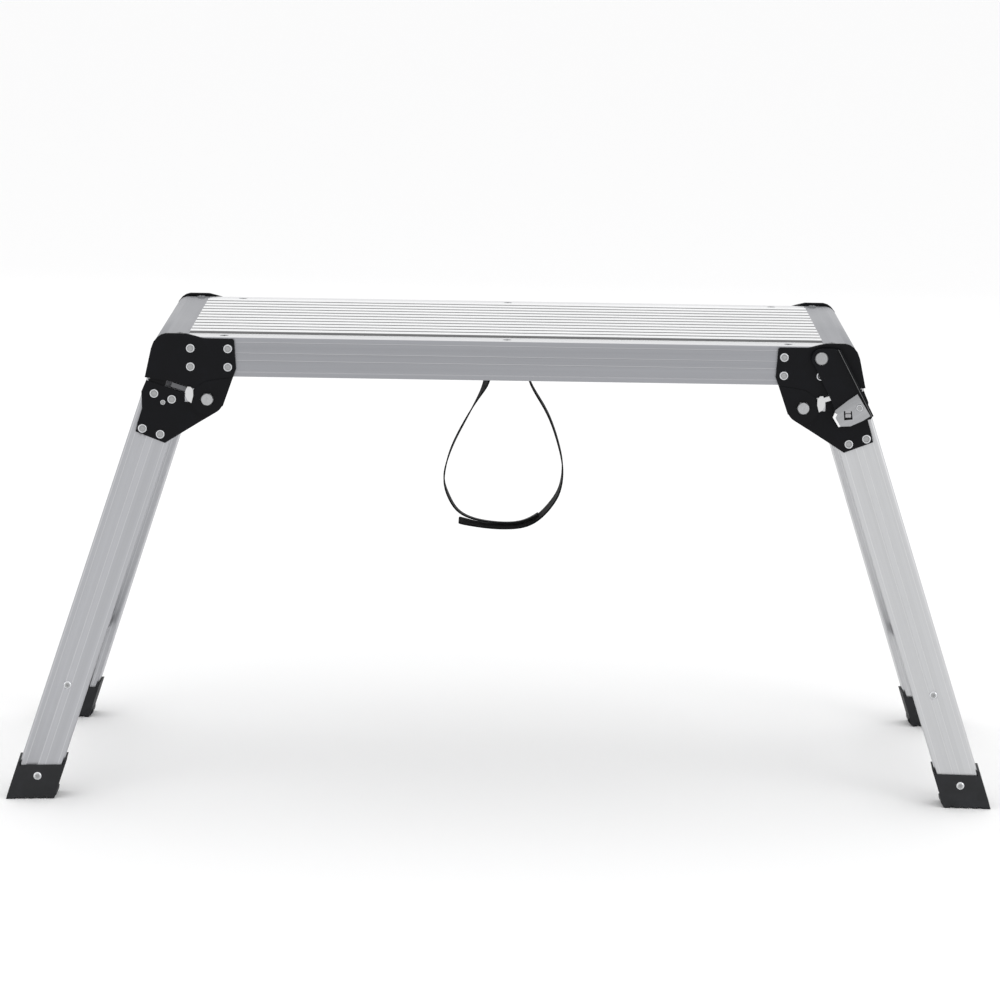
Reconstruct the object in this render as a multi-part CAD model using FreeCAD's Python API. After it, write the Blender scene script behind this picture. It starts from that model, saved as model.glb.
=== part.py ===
"""Folding aluminium work platform bench.

Frame: +X runs along the platform, +Y across it, +Z up.  The origin is on the
floor, under the middle of the deck.  Lengths are millimetres.

The bench is symmetric front to rear and left to right, apart from the two lock
levers, which sit on the front right and rear left corners.  Every corner piece
is drawn once, in the corner where X and Y are positive, and then mirrored.
There `e_in` points across the leg towards the middle of the bench and `e_down`
points down the leg.
"""
import FreeCAD, Part
import math
import os

V = FreeCAD.Vector

# ---- platform ------------------------------------------------------------
DECK_TOP = 510.0            # floor to the top of the deck ribs
RIB_STEP = 2.0              # the ribs stand this much above the rail flanges
DECK_LENGTH = 688.5
PLANK_COUNT = 3
PLANK_PITCH = 82.0
PLANK_GAP = 0.6
PLANK_HEIGHT = 15.5
PLANK_SKIN = 2.3
PLANK_WALL = 2.0
PLANK_SPINE = 7.0           # solid web under the middle groove, for the rivets
RIBS_PER_PLANK = 4
RIB_HEIGHT = 2.2
RIB_BASE = 17.5
RIB_CREST = 13.5
GROOVE_FILL = 1.3           # the grooves between the rivet rows are this much shallower

RAIL_FACE = 149.0           # outer face of the side rails, from the middle
RAIL_HEIGHT = 43.2
RAIL_WALL = 2.5
RAIL_FLANGE = 24.0
RAIL_LIP = 12.0
RAIL_EDGE_RADIUS = 1.8
RAIL_GROOVE_HEIGHTS = (5.8, 17.7, 25.9, 37.6)   # up from the rail's lower edge
GROOVE_WIDTH = 1.3
GROOVE_DEPTH = 0.35

END_RAIL_WIDTH = 38.5
END_RAIL_RADIUS = 14.0
END_SCREW_INSET = 9.25      # from the end rail's inner edge
END_RAIL_WALL = 2.5
END_RAIL_GAP = 0.25
WEB_OVERLAP = 17.0          # the side rail's web runs on inside the end rail

SUPPORT_SPACING = 306.0
SUPPORT_WIDTH = 26.0
SUPPORT_WALL = 2.0
SUPPORT_END_GAP = 0.5
SPACER_LENGTH = 24.0

# ---- corner hinge --------------------------------------------------------
PIVOT_X = 323.4
PIVOT_DROP = 69.7            # from the deck's top down to the leg pivots
PIVOT_Z = DECK_TOP - PIVOT_DROP
HINGE_PLATE = 3.0
JOGGLE = 1.0                # the plate's lower part stands out by this much
LEG_PLATE = 3.0
PLATE_CLEARANCE = 0.5
PIVOT_RADIUS = 4.0
PIVOT_FIT = 0.08            # radial running clearance on the pivot bolt
PIVOT_HEAD_RADIUS = 7.2
PIVOT_HEAD = 4.0
PIVOT_BOSS = 17.7
NUT_FLATS = 13.0
NUT_HEIGHT = 6.5
WASHER_RADIUS = 8.5
WASHER = 1.5
STOP_GAP = 0.3
STOP_DEPTH = 24.0
STOP_ACROSS = (-1.5, -17.0)  # its edges, across the leg
TAB_ACROSS = (-1.5, -19.6)   # the leg plate's thin tab behind the hinge plate
TAB_TOP = -8.0
TAB = 1.5

# ---- legs ----------------------------------------------------------------
SPLAY = 18.2                # degrees from upright, seen from the front
FLARE = 5.9                 # degrees outward, towards the front or rear
FLARE_LINE_ANGLE = 49.0     # slope of the bend line in the leg plate
FLARE_LINE_OFFSET = 20.0    # from the pivot to the bend line
LEG_OFFSET = 46.4           # from the pivot to the middle of the leg
LEG_TOP = 2.6               # the leg starts this far below the pivot, along it
LEG_WIDTH = 44.7
LEG_DEPTH = 28.0
LEG_WALL = 2.0
LEG_LIP = 6.0
LEG_CORNER = 2.0
LEG_GROOVES = (-16.5, -3.4, 3.4, 16.5)
LEG_RIVET_PITCH = 20.0
LEG_RIVET_ROWS = (10.9, 51.0)
UPPER_BAR_AT = 17.0         # down the leg from its top
LOWER_BAR_AT = 345.4
BAR_CLEARANCE = 3.35         # between a cross bar and the leg's lips, each side
BAR_WIDTH = LEG_WIDTH - 2 * LEG_LIP - 2 * BAR_CLEARANCE
BAR_HEIGHT = 18.0
BAR_WALL = 2.0

# ---- feet ----------------------------------------------------------------
FOOT_HEIGHT = 37.0
FOOT_EAR = 5.5
FOOT_WALL = 2.4
SOLE = 6.0
TREAD_PITCH = 10.0
TREAD_WIDTH = 4.5
TREAD_DEPTH = 1.6
HEEL_INSET = 5.0             # keeps the heel bulge within the boot's turned sides
FOOT_RIVET_HEIGHT = 23.6     # above the floor, before the leg is flared

# ---- rivets and screws ---------------------------------------------------
RIVET_HEAD = 5.4
RIVET_HEAD_HEIGHT = 2.4
RIVET_SHANK = 2.4
RIVET_CLEARANCE = 0.3
BLIND_HEAD = 4.6
BLIND_HEAD_HEIGHT = 1.6
DECK_RIVET_HEAD = 2.6
SCREW_SINK = 5.4
SCREW_SHANK = 2.2
SCREW_LENGTH = 9.5
END_SCREW_HEAD = 5.0

# ---- locks ---------------------------------------------------------------
LEVER_PIN_AT = (17.9, 55.4)  # from the pivot: outward, up
LEVER_STANDOFF = 3.2
LEVER = 2.5
LEVER_PIN_HEAD = 6.2
LEVER_LIP_WIDTH = 2.5
LEVER_LIP = 4.0
BAR_ACROSS = (5.0, 25.0)     # lock bar's edges, across the leg towards the middle
BAR_ALONG = (-7.2, -2.0)     # and along it, above the leg's top
TONGUE = 2.2
BAR_NECK = 3.5              # width of the bar that runs out to the tongue
TONGUE_GAP = 0.3             # from the joggled plate to the tongue
LATCH = 2.0
LATCH_GAP = 0.3
LATCH_PIN_AT = (60.7, 2.4)
LATCH_PIN_HEAD = 4.0
LATCH_WINDOW = ((43.6, -1.4), (52.4, -1.4), (53.6, -10.6), (44.4, -11.6))
SPRING_AT = (48.4, -6.4)
SPRING_RADIUS = 2.4
SPRING_WIDTH = 6.0
SPRING = 0.8

# ---- strap ---------------------------------------------------------------
STRAP_WIDTH = 28.0
STRAP = 2.0
STRAP_ROUTE = (
    (-22.0, 465.0), (-30.0, 423.0), (-47.0, 393.0), (-59.0, 369.0), (-64.0, 352.0),
    (-69.0, 334.0), (-73.0, 318.0), (-71.0, 306.0), (-62.0, 294.0), (-50.0, 281.0),
    (-27.0, 272.0), (0.0, 270.0), (20.0, 273.0), (39.0, 283.0), (53.0, 297.0),
    (62.0, 313.0), (66.0, 342.0), (61.0, 368.0), (54.0, 389.0), (40.0, 414.0),
    (27.0, 436.0), (22.0, 465.0))

# ---- derived places ------------------------------------------------------
FLANGE_TOP = DECK_TOP - RIB_STEP
RAIL_BOTTOM = FLANGE_TOP - RAIL_HEIGHT
WEB_INNER = RAIL_FACE - RAIL_WALL
DECK_HALF = DECK_LENGTH / 2
DECK_HALF_WIDTH = PLANK_COUNT * PLANK_PITCH / 2
DECK_BOTTOM = DECK_TOP - PLANK_HEIGHT
GROOVE_FLOOR = DECK_TOP - RIB_HEIGHT
END_RAIL_INNER = DECK_HALF + END_RAIL_GAP
END_RAIL_OUTER = END_RAIL_INNER + END_RAIL_WIDTH
SCREW_Y = RAIL_FACE - RAIL_FLANGE / 2
SUPPORT_PLACES = {"left": -SUPPORT_SPACING, "centre": 0.0, "right": SUPPORT_SPACING}
PLANK_PLACES = {"front": -PLANK_PITCH, "middle": 0.0, "rear": PLANK_PITCH}

PLATE_OUTER = RAIL_FACE + HINGE_PLATE
LEG_PLATE_OUTER = RAIL_FACE - PLATE_CLEARANCE
LEG_FACE = LEG_PLATE_OUTER - LEG_PLATE
LEVER_INNER = PLATE_OUTER + LEVER_STANDOFF
LEVER_OUTER = LEVER_INNER + LEVER
LATCH_INNER = LEVER_OUTER + LATCH_GAP
TONGUE_INNER = PLATE_OUTER + JOGGLE + TONGUE_GAP

S = math.sin(math.radians(SPLAY))
C = math.cos(math.radians(SPLAY))
E_IN = V(-C, 0, -S)
E_DOWN = V(S, 0, -C)
OUT = V(0, 1, 0)
PIVOT = V(PIVOT_X, 0, PIVOT_Z)
LEG_ORIGIN = PIVOT - E_IN * LEG_OFFSET + E_DOWN * LEG_TOP
FOOT_RIVET_AT = (LEG_ORIGIN.z - FOOT_RIVET_HEIGHT) / C
BEND_SIN = math.sin(math.radians(FLARE_LINE_ANGLE))
BEND_COS = math.cos(math.radians(FLARE_LINE_ANGLE))
BEND_NORMAL = V(BEND_SIN, 0, -BEND_COS)
BEND_ALONG = V(BEND_COS, 0, BEND_SIN)
BEND_POINT = PIVOT + BEND_NORMAL * FLARE_LINE_OFFSET + OUT * LEG_FACE

SIDES = {"left": -1, "right": 1}
ROWS = {"front": -1, "rear": 1}
LEVER_ROW = {"left": "rear", "right": "front"}


# ---- small helpers -------------------------------------------------------
def box(x0, x1, y0, y1, z0, z1):
    """Box between two opposite corners."""
    return Part.makeBox(x1 - x0, y1 - y0, z1 - z0, V(x0, y0, z0))


def fused(shapes):
    """One solid from shapes that share faces or overlap."""
    return shapes[0].multiFuse(shapes[1:]).removeSplitter()


def prism_y(points, y0, y1):
    """Polygon of (x, z) points, drawn out from y0 to y1."""
    corners = [V(x, y0, z) for x, z in points]
    face = Part.Face(Part.makePolygon(corners + corners[:1]))
    return face.extrude(V(0, y1 - y0, 0))


def prism_x(points, x0, x1):
    """Polygon of (y, z) points, drawn out from x0 to x1."""
    corners = [V(x0, y, z) for y, z in points]
    face = Part.Face(Part.makePolygon(corners + corners[:1]))
    return face.extrude(V(x1 - x0, 0, 0))


def from_pivot(points):
    """Corner-plate points, given from the pivot, as (x, z) places."""
    return [(PIVOT_X + x, PIVOT_Z + z) for x, z in points]


def leg_point(across, along, y=0.0):
    """Place on the unflared leg: across it towards the middle, and down it."""
    return LEG_ORIGIN + E_IN * across + E_DOWN * along + OUT * y


def leg_box(u0, u1, y0, y1, v0, v1):
    """Box lined up with the unflared leg."""
    corners = [leg_point(u, v, y0) for u, v in ((u0, v0), (u1, v0), (u1, v1), (u0, v1))]
    face = Part.Face(Part.makePolygon(corners + corners[:1]))
    return face.extrude(V(0, y1 - y0, 0))


def flared(shape):
    """Turn a leg piece outward about the bend line."""
    shape = shape.copy()
    shape.rotate(BEND_POINT, BEND_ALONG, FLARE)
    return shape


def pin_y(place, radius, y0, y1):
    """Round pin along Y at (x, z)."""
    return Part.makeCylinder(radius, y1 - y0, V(place[0], y0, place[1]), OUT)


def rivet_y(place, face, inner, head=RIVET_HEAD, height=RIVET_HEAD_HEIGHT, shank=RIVET_SHANK):
    """Flat-topped rivet: its head sits on `face`, its shank ends at `inner`."""
    head_foot = pin_y(place, head, face, face + height * 0.5)
    crown = Part.makeCone(head, head * 0.72, height * 0.5, V(place[0], face + height * 0.5, place[1]), OUT)
    dish = pin_y(place, head * 0.45, face + height - 0.3, face + height + 1)
    return fused([head_foot, crown, pin_y(place, shank, inner, face)]).cut(dish)


def placed(shape, side, row):
    """Mirror a corner piece into the corner that side and row name."""
    shape = shape.copy()
    if SIDES[side] < 0:
        shape = shape.mirror(V(0, 0, 0), V(1, 0, 0))
    if ROWS[row] < 0:
        shape = shape.mirror(V(0, 0, 0), V(0, 1, 0))
    return shape


def all_corners(shape):
    """The same corner piece in all four corners."""
    return Part.makeCompound([placed(shape, side, row) for side in SIDES for row in ROWS])


def both_rows(shape, side):
    """The same corner piece at the front and rear of one side."""
    return Part.makeCompound([placed(shape, side, row) for row in ROWS])


# ---- platform pieces -----------------------------------------------------
def side_rail():
    """Channel rail with a wide top flange, drawn on the rear side."""
    length = END_RAIL_INNER + WEB_OVERLAP
    web = box(-length, length, WEB_INNER, RAIL_FACE, RAIL_BOTTOM, FLANGE_TOP)
    flange = box(-DECK_HALF, DECK_HALF, RAIL_FACE - RAIL_FLANGE, RAIL_FACE,
                 FLANGE_TOP - RAIL_WALL, FLANGE_TOP)
    lip = box(-DECK_HALF, DECK_HALF, RAIL_FACE - RAIL_LIP, RAIL_FACE,
              RAIL_BOTTOM, RAIL_BOTTOM + RAIL_WALL)
    rail = fused([web, flange, lip])
    edge = [e for e in rail.Edges if is_outer_top_edge(e)]
    rail = rail.makeFillet(RAIL_EDGE_RADIUS, edge)
    for height in RAIL_GROOVE_HEIGHTS:
        z = RAIL_BOTTOM + height
        rail = rail.cut(box(-length, length, RAIL_FACE - GROOVE_DEPTH, RAIL_FACE + 1,
                            z - GROOVE_WIDTH / 2, z + GROOVE_WIDTH / 2))
    for x in SUPPORT_PLACES.values():
        rail = rail.cut(Part.makeCone(SCREW_SHANK, SCREW_SINK, RAIL_WALL,
                                      V(x, SCREW_Y, FLANGE_TOP - RAIL_WALL)))
    for place in hinge_rivet_places():
        for side in (-1, 1):
            rail = rail.cut(pin_y((side * place[0], place[1]), RIVET_SHANK, WEB_INNER - 1, RAIL_FACE + 1))
    return rail


def is_outer_top_edge(edge):
    """True for the rail's long outer top edge."""
    box_ = edge.BoundBox
    long_enough = box_.XLength > 2 * DECK_HALF - 1
    return long_enough and box_.YMin > RAIL_FACE - 0.01 and box_.ZMin > FLANGE_TOP - 0.01


def hinge_rivet_places():
    """The four rivets of a hinge plate: two columns, 20 mm apart in height."""
    across = (LEVER_PIN_AT[0], LEVER_PIN_AT[0] - 40.2)
    heights = (LEVER_PIN_AT[1], LEVER_PIN_AT[1] - 20.0)
    return from_pivot([(x, z) for x in across for z in heights])


def end_rail():
    """Hollow end rail with a large rounded outer edge, drawn on the right."""
    outer = end_rail_outline(0.0)
    inner = end_rail_outline(END_RAIL_WALL)
    rail = outer.cut(inner)
    screw = Part.makeCylinder(SCREW_SHANK, 10, V(end_screw_x(), 0, FLANGE_TOP - 6))
    for row in (-1, 1):
        hole = screw.copy()
        hole.translate(V(0, row * SCREW_Y, 0))
        rail = rail.cut(hole)
    return rail


def end_rail_outline(inset):
    """Solid inside the end rail's outline, set in by `inset`."""
    x0 = END_RAIL_INNER + inset
    x1 = END_RAIL_OUTER - inset
    z0 = RAIL_BOTTOM + inset
    z1 = FLANGE_TOP - inset
    half = WEB_INNER if inset == 0 else RAIL_FACE
    block = box(x0, x1, -half, half, z0, z1)
    edge = [e for e in block.Edges
            if e.BoundBox.YLength > half and e.BoundBox.XMin > x1 - 0.01 and e.BoundBox.ZMin > z1 - 0.01]
    return block.makeFillet(END_RAIL_RADIUS - inset, edge)


def end_screw_x():
    """The end-rail screws stand near its inner edge."""
    return END_RAIL_INNER + END_SCREW_INSET


def plank(y):
    """Ribbed deck plank, open below, centred at y."""
    half = (PLANK_PITCH - PLANK_GAP) / 2
    skin = box(-DECK_HALF, DECK_HALF, y - half, y + half, GROOVE_FLOOR - PLANK_SKIN, GROOVE_FLOOR)
    pieces = [skin]
    for centre, width in ((y - half + PLANK_WALL / 2, PLANK_WALL), (y, PLANK_SPINE),
                          (y + half - PLANK_WALL / 2, PLANK_WALL)):
        pieces.append(box(-DECK_HALF, DECK_HALF, centre - width / 2, centre + width / 2,
                          DECK_BOTTOM, GROOVE_FLOOR))
    rib_pitch = PLANK_PITCH / RIBS_PER_PLANK
    for i in range(RIBS_PER_PLANK):
        centre = y + (i - (RIBS_PER_PLANK - 1) / 2) * rib_pitch
        outline = [(centre - RIB_BASE / 2, GROOVE_FLOOR), (centre - RIB_CREST / 2, DECK_TOP),
                   (centre + RIB_CREST / 2, DECK_TOP), (centre + RIB_BASE / 2, GROOVE_FLOOR)]
        pieces.append(prism_x(outline, -DECK_HALF, DECK_HALF))
    for row in (-1, 1):
        pieces.append(box(-DECK_HALF, DECK_HALF, y + row * rib_pitch - rib_pitch / 2,
                          y + row * rib_pitch + rib_pitch / 2, GROOVE_FLOOR, GROOVE_FLOOR + GROOVE_FILL))
    board = fused(pieces)
    for x in SUPPORT_PLACES.values():
        board = board.cut(Part.makeCylinder(RIVET_SHANK, PLANK_HEIGHT + 2, V(x, y, DECK_BOTTOM - 1)))
    return board


def cross_support(x):
    """Channel across the platform, under the planks, open below."""
    half = WEB_INNER - SUPPORT_END_GAP
    z0 = RAIL_BOTTOM + RAIL_WALL
    outer = box(x - SUPPORT_WIDTH / 2, x + SUPPORT_WIDTH / 2, -half, half, z0, DECK_BOTTOM)
    wall = SUPPORT_WALL
    inner = box(x - SUPPORT_WIDTH / 2 + wall, x + SUPPORT_WIDTH / 2 - wall, -half - 1, half + 1,
                z0 - 1, DECK_BOTTOM - wall)
    support = outer.cut(inner)
    for y in list(PLANK_PLACES.values()):
        support = support.cut(Part.makeCylinder(RIVET_SHANK, 8, V(x, y, DECK_BOTTOM - 5)))
    return support.cut(hinge_rivet_clearance())


def hinge_rivet_clearance():
    """Pins a little larger than the hinge-plate rivets' shanks, in all corners."""
    pins = [pin_y(place, RIVET_SHANK + RIVET_CLEARANCE, WEB_INNER - 4, WEB_INNER)
            for place in hinge_rivet_places()]
    return all_corners(Part.makeCompound(pins))


def spacer_blocks():
    """Blocks between the supports and the rail flanges, under each screw."""
    block_width = WEB_INNER - DECK_HALF_WIDTH - 2 * SUPPORT_END_GAP
    clearance = hinge_rivet_clearance()
    pieces = []
    for x in SUPPORT_PLACES.values():
        for row in (-1, 1):
            centre = row * (DECK_HALF_WIDTH + SUPPORT_END_GAP + block_width / 2)
            block = box(x - SPACER_LENGTH / 2, x + SPACER_LENGTH / 2, centre - block_width / 2,
                        centre + block_width / 2, DECK_BOTTOM, FLANGE_TOP - RAIL_WALL)
            hole = Part.makeCylinder(SCREW_SHANK, 30, V(x, row * SCREW_Y, DECK_BOTTOM - 5))
            pieces.append(block.cut(hole).cut(clearance))
    return Part.makeCompound(pieces)


def flange_screws():
    """Countersunk screws that hold the rail flanges to the spacer blocks."""
    sunk = 0.4
    slope = (SCREW_SINK - SCREW_SHANK) / RAIL_WALL
    head = Part.makeCone(SCREW_SHANK, SCREW_SINK - slope * sunk, RAIL_WALL - sunk,
                         V(0, 0, FLANGE_TOP - RAIL_WALL))
    shank = Part.makeCylinder(SCREW_SHANK, SCREW_LENGTH, V(0, 0, FLANGE_TOP - RAIL_WALL - SCREW_LENGTH))
    screw = fused([head, shank]).cut(cross_recess(FLANGE_TOP - sunk))
    return copies(screw, [(x, row * SCREW_Y) for x in SUPPORT_PLACES.values() for row in (-1, 1)])


def cross_recess(z):
    """Cross-shaped driver recess whose mouth is at height z."""
    arm = box(-3.0, 3.0, -0.6, 0.6, z - 1.2, z + 1)
    other = box(-0.6, 0.6, -3.0, 3.0, z - 1.2, z + 1)
    return fused([arm, other])


def copies(shape, places):
    """The shape moved to each (x, y) place."""
    out = []
    for x, y in places:
        piece = shape.copy()
        piece.translate(V(x, y, 0))
        out.append(piece)
    return Part.makeCompound(out)


def deck_rivets():
    """Rivets through each plank's middle groove into the cross supports."""
    head = Part.makeCone(DECK_RIVET_HEAD, DECK_RIVET_HEAD * 0.6, 1.2, V(0, 0, GROOVE_FLOOR))
    foot_z = DECK_BOTTOM - SUPPORT_WALL - 1
    shank = Part.makeCylinder(RIVET_SHANK, GROOVE_FLOOR - foot_z, V(0, 0, foot_z))
    rivet = fused([head, shank])
    return copies(rivet, [(x, y) for x in SUPPORT_PLACES.values() for y in PLANK_PLACES.values()])


def end_rail_screws():
    """Pan-head screws on top of the end rails, near their ends."""
    head = Part.makeCone(END_SCREW_HEAD, END_SCREW_HEAD * 0.7, 2.0, V(0, 0, FLANGE_TOP))
    shank = Part.makeCylinder(SCREW_SHANK, 5.5, V(0, 0, FLANGE_TOP - 5.5))
    screw = fused([head, shank]).cut(cross_recess(FLANGE_TOP + 2.0))
    places = [(side * end_screw_x(), row * SCREW_Y) for side in (-1, 1) for row in (-1, 1)]
    return copies(screw, places)


# ---- corner hinge pieces -------------------------------------------------
def hinge_plate():
    """Black plate that carries the pivot, with its lower part joggled out."""
    edge_near = leg_point(6.0, -8.6) - PIVOT
    edge_far = leg_point(28.0, -8.6) - PIVOT
    boss = PIVOT_BOSS - 0.5
    outline = [(67.3, 22.8), (60.4, 54.4), (57.6, 61.8), (53.4, 66.9), (49.2, 69.8), (44.2, 71.2),
               (22.7, 71.2), (13.0, 68.8), (3.7, 66.2), (-27.3, 66.0), (-29.0, 64.0), (-31.0, 33.1),
               (-boss * 0.97, -boss * 0.45), (boss * 0.6, boss * 0.6),
               (edge_far.x, edge_far.z), (edge_near.x, edge_near.z)]
    flat = fused([prism_y(from_pivot(outline), RAIL_FACE, PLATE_OUTER),
                  pin_y((PIVOT_X, PIVOT_Z), boss, RAIL_FACE, PLATE_OUTER)])
    step = from_pivot([(-40, 23.5), (-25.2, 23.5), (-8, 21.1), (1, 19.3), (7.8, 15.2), (12.5, 11.3),
                       (30, -5), (30, -30), (-40, -30)])
    lower_zone = prism_y(step, RAIL_FACE - 5, PLATE_OUTER + 5)
    lower = flat.common(lower_zone)
    lower.translate(V(0, JOGGLE, 0))
    plate = fused([flat.cut(lower_zone), lower])
    for place in hinge_rivet_places():
        plate = plate.cut(pin_y(place, RIVET_SHANK, RAIL_FACE - 1, PLATE_OUTER + 1))
    return plate.cut(pin_y((PIVOT_X, PIVOT_Z), PIVOT_RADIUS, RAIL_FACE - 1, PLATE_OUTER + 5))


def hinge_rivets(with_lever):
    """Rivets of one hinge plate; the lever's pin takes the first one's place."""
    places = hinge_rivet_places()
    if with_lever:
        places = places[1:]
    return [rivet_y(place, PLATE_OUTER, WEB_INNER - 3) for place in places]


def pivot_bolt():
    """Shoulder bolt through the hinge plate and the leg plate."""
    place = (PIVOT_X, PIVOT_Z)
    face = PLATE_OUTER + JOGGLE
    head = hexagon(place, PIVOT_HEAD_RADIUS * 1.06, face, face + PIVOT_HEAD)
    head = head.common(Part.makeCone(PIVOT_HEAD_RADIUS + 1.2, PIVOT_HEAD_RADIUS - 1.2, PIVOT_HEAD + 0.2,
                                     V(place[0], face - 0.1, place[1]), OUT))
    shank = pin_y(place, PIVOT_RADIUS, LEG_FACE - WASHER - NUT_HEIGHT - 2, face)
    return fused([head, shank])


def hexagon(place, across_corner, y0, y1):
    """Hexagonal prism along Y; the size is centre to corner."""
    points = [(place[0] + across_corner * math.cos(math.radians(60 * i)),
               place[1] + across_corner * math.sin(math.radians(60 * i))) for i in range(6)]
    return prism_y(points, y0, y1)


def pivot_nut():
    """Washer and locking nut on the inner end of the pivot bolt."""
    place = (PIVOT_X, PIVOT_Z)
    seat = LEG_FACE - PLATE_CLEARANCE / 2
    washer = pin_y(place, WASHER_RADIUS, seat - WASHER, seat)
    corner = NUT_FLATS / 2 / math.cos(math.radians(30))
    nut = hexagon(place, corner, seat - WASHER - NUT_HEIGHT, seat - WASHER)
    bore = pin_y(place, PIVOT_RADIUS, seat - 20, seat + 1)
    return fused([washer, nut]).cut(bore)


def stop_block():
    """Block under the end rail that the opened leg's top comes up against."""
    near = leg_point(STOP_ACROSS[0], -STOP_GAP)
    far = leg_point(STOP_ACROSS[1], -STOP_GAP)
    top = RAIL_BOTTOM - STOP_GAP
    outline = [(near.x, near.z), (far.x, far.z), (far.x, top), (near.x, top)]
    return prism_y(outline, LEG_FACE - STOP_DEPTH, LEG_FACE - STOP_GAP)


# ---- leg frame pieces ----------------------------------------------------
def leg_top_height():
    """Long enough for any leg to pass the floor before it is trimmed."""
    return (DECK_TOP + 60) / C


def leg_section(margin, depth_margin, v0, v1):
    """Solid block of the leg's outer section, grown by the margins."""
    half = LEG_WIDTH / 2 + margin
    return leg_box(-half, half, LEG_FACE - LEG_DEPTH - depth_margin, LEG_FACE + depth_margin, v0, v1)


def leg():
    """Lipped channel leg with grooves on its outer face, open to the inside."""
    length = leg_top_height()
    half = LEG_WIDTH / 2
    block = leg_section(0, 0, 0, length)
    long_edges = [e for e in block.Edges if e.Length > length - 1]
    block = block.makeFillet(LEG_CORNER, long_edges)
    hollow = leg_box(-half + LEG_WALL, half - LEG_WALL, LEG_FACE - LEG_DEPTH + LEG_WALL,
                     LEG_FACE - LEG_WALL, -1, length + 1)
    mouth = leg_box(-half + LEG_LIP + LEG_WALL, half - LEG_LIP - LEG_WALL, LEG_FACE - LEG_DEPTH - 1,
                    LEG_FACE - LEG_WALL, -1, length + 1)
    channel = block.cut(hollow).cut(mouth)
    for groove in LEG_GROOVES:
        channel = channel.cut(leg_box(groove - GROOVE_WIDTH / 2, groove + GROOVE_WIDTH / 2,
                                      LEG_FACE - GROOVE_DEPTH, LEG_FACE + 1, -1, length + 1))
    channel = flared(channel)
    below = box(0, 2 * PIVOT_X, 0, 2 * RAIL_FACE, -200, SOLE)
    return channel.cut(below)


def leg_plate():
    """Black plate riveted to the leg, bent so that it lies flat on it."""
    top_out = leg_point(-LEG_WIDTH / 2, 0) - PIVOT
    top_in = leg_point(LEG_WIDTH / 2 - 1.0, 0) - PIVOT
    outline = [(top_out.x, top_out.z), (71.4, 6.8), (70.7, -11.6), (75.6, -27.4), (77.7, -36.8),
               (46.3, -49.2), (-PIVOT_BOSS * 0.52, -PIVOT_BOSS * 0.854), (0.0, 0.0),
               (PIVOT_BOSS * 0.95, -4.5), (top_in.x, -4.5), (top_in.x, top_in.z)]
    flat = fused([prism_y(from_pivot(outline), LEG_FACE, LEG_PLATE_OUTER),
                  pin_y((PIVOT_X, PIVOT_Z), PIVOT_BOSS, LEG_FACE, LEG_PLATE_OUTER)])
    tab = leg_box(TAB_ACROSS[1], TAB_ACROSS[0], LEG_FACE, LEG_FACE + TAB, TAB_TOP, LEG_WALL)
    flat = fused([flat, tab])
    reach = 400.0
    start = BEND_POINT - BEND_ALONG * reach - OUT * reach
    corners = [start, start + BEND_ALONG * 2 * reach, start + BEND_ALONG * 2 * reach + BEND_NORMAL * reach,
               start + BEND_NORMAL * reach]
    leg_side = Part.Face(Part.makePolygon(corners + corners[:1])).extrude(OUT * 2 * reach)
    plate = fused([flat.cut(leg_side), flared(flat.common(leg_side))])
    plate = plate.cut(box(0, 2 * PIVOT_X, 0, WEB_INNER + 0.1, RAIL_BOTTOM - 0.5, DECK_TOP))
    return plate.cut(pin_y((PIVOT_X, PIVOT_Z), PIVOT_RADIUS + PIVOT_FIT, LEG_FACE - 5, LEG_PLATE_OUTER + 5))


def leg_rivet_places():
    """Leg-plate rivets: two rows of two on the middle of the leg."""
    out = []
    for along in LEG_RIVET_ROWS:
        for across in (-LEG_RIVET_PITCH / 2, LEG_RIVET_PITCH / 2):
            point = leg_point(across, along)
            out.append((point.x, point.z))
    return out


def leg_plate_rivets():
    """Rivets through the leg plate, and the stud between them."""
    pieces = [flared(rivet_y(place, LEG_PLATE_OUTER, LEG_FACE - LEG_WALL - 1))
              for place in leg_rivet_places()]
    stud = leg_point(1.9, UPPER_BAR_AT)
    pieces.append(flared(rivet_y((stud.x, stud.z), LEG_PLATE_OUTER, LEG_FACE - LEG_WALL - 1,
                                 head=3.2, height=2.4, shank=2.0)))
    return pieces


def cross_bar(along):
    """Channel between the front and rear legs of one side, open inwards."""
    middle = leg_axis_at(along)
    half = BAR_WIDTH / 2
    reach = middle.y + LEG_DEPTH
    corners = [middle + E_IN * u * half + E_DOWN * v * BAR_HEIGHT / 2
               for u, v in ((-1, -1), (1, -1), (1, 1), (-1, 1))]
    outer = prism_y([(p.x, p.z) for p in corners], -reach, reach)
    behind = flared(leg_box(-60, 60, LEG_FACE - LEG_WALL, LEG_FACE + 80, along - 80, along + 80))
    outer = outer.cut(behind).cut(behind.mirror(V(0, 0, 0), V(0, 1, 0)))
    inner_half = half - BAR_WALL
    inner = [middle + E_IN * u + E_DOWN * v * inner_half_height()
             for u, v in ((-inner_half, -1), (half + 1, -1), (half + 1, 1), (-inner_half, 1))]
    inside = middle.y - LEG_DEPTH
    return outer.cut(prism_y([(p.x, p.z) for p in inner], -inside, inside))


def inner_half_height():
    """Half the clear height inside a cross bar."""
    return BAR_HEIGHT / 2 - BAR_WALL


def leg_axis_at(along):
    """Middle of the flared leg's outer face, `along` down from its top."""
    marker = flared(Part.Vertex(leg_point(0, along, LEG_FACE)))
    return marker.Point


def lower_bar_rivet():
    """Blind rivet that holds the lower cross bar's end."""
    place = leg_point(0, LOWER_BAR_AT)
    return flared(rivet_y((place.x, place.z), LEG_FACE, LEG_FACE - LEG_WALL - 2,
                          head=BLIND_HEAD, height=BLIND_HEAD_HEIGHT, shank=RIVET_SHANK))


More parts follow.
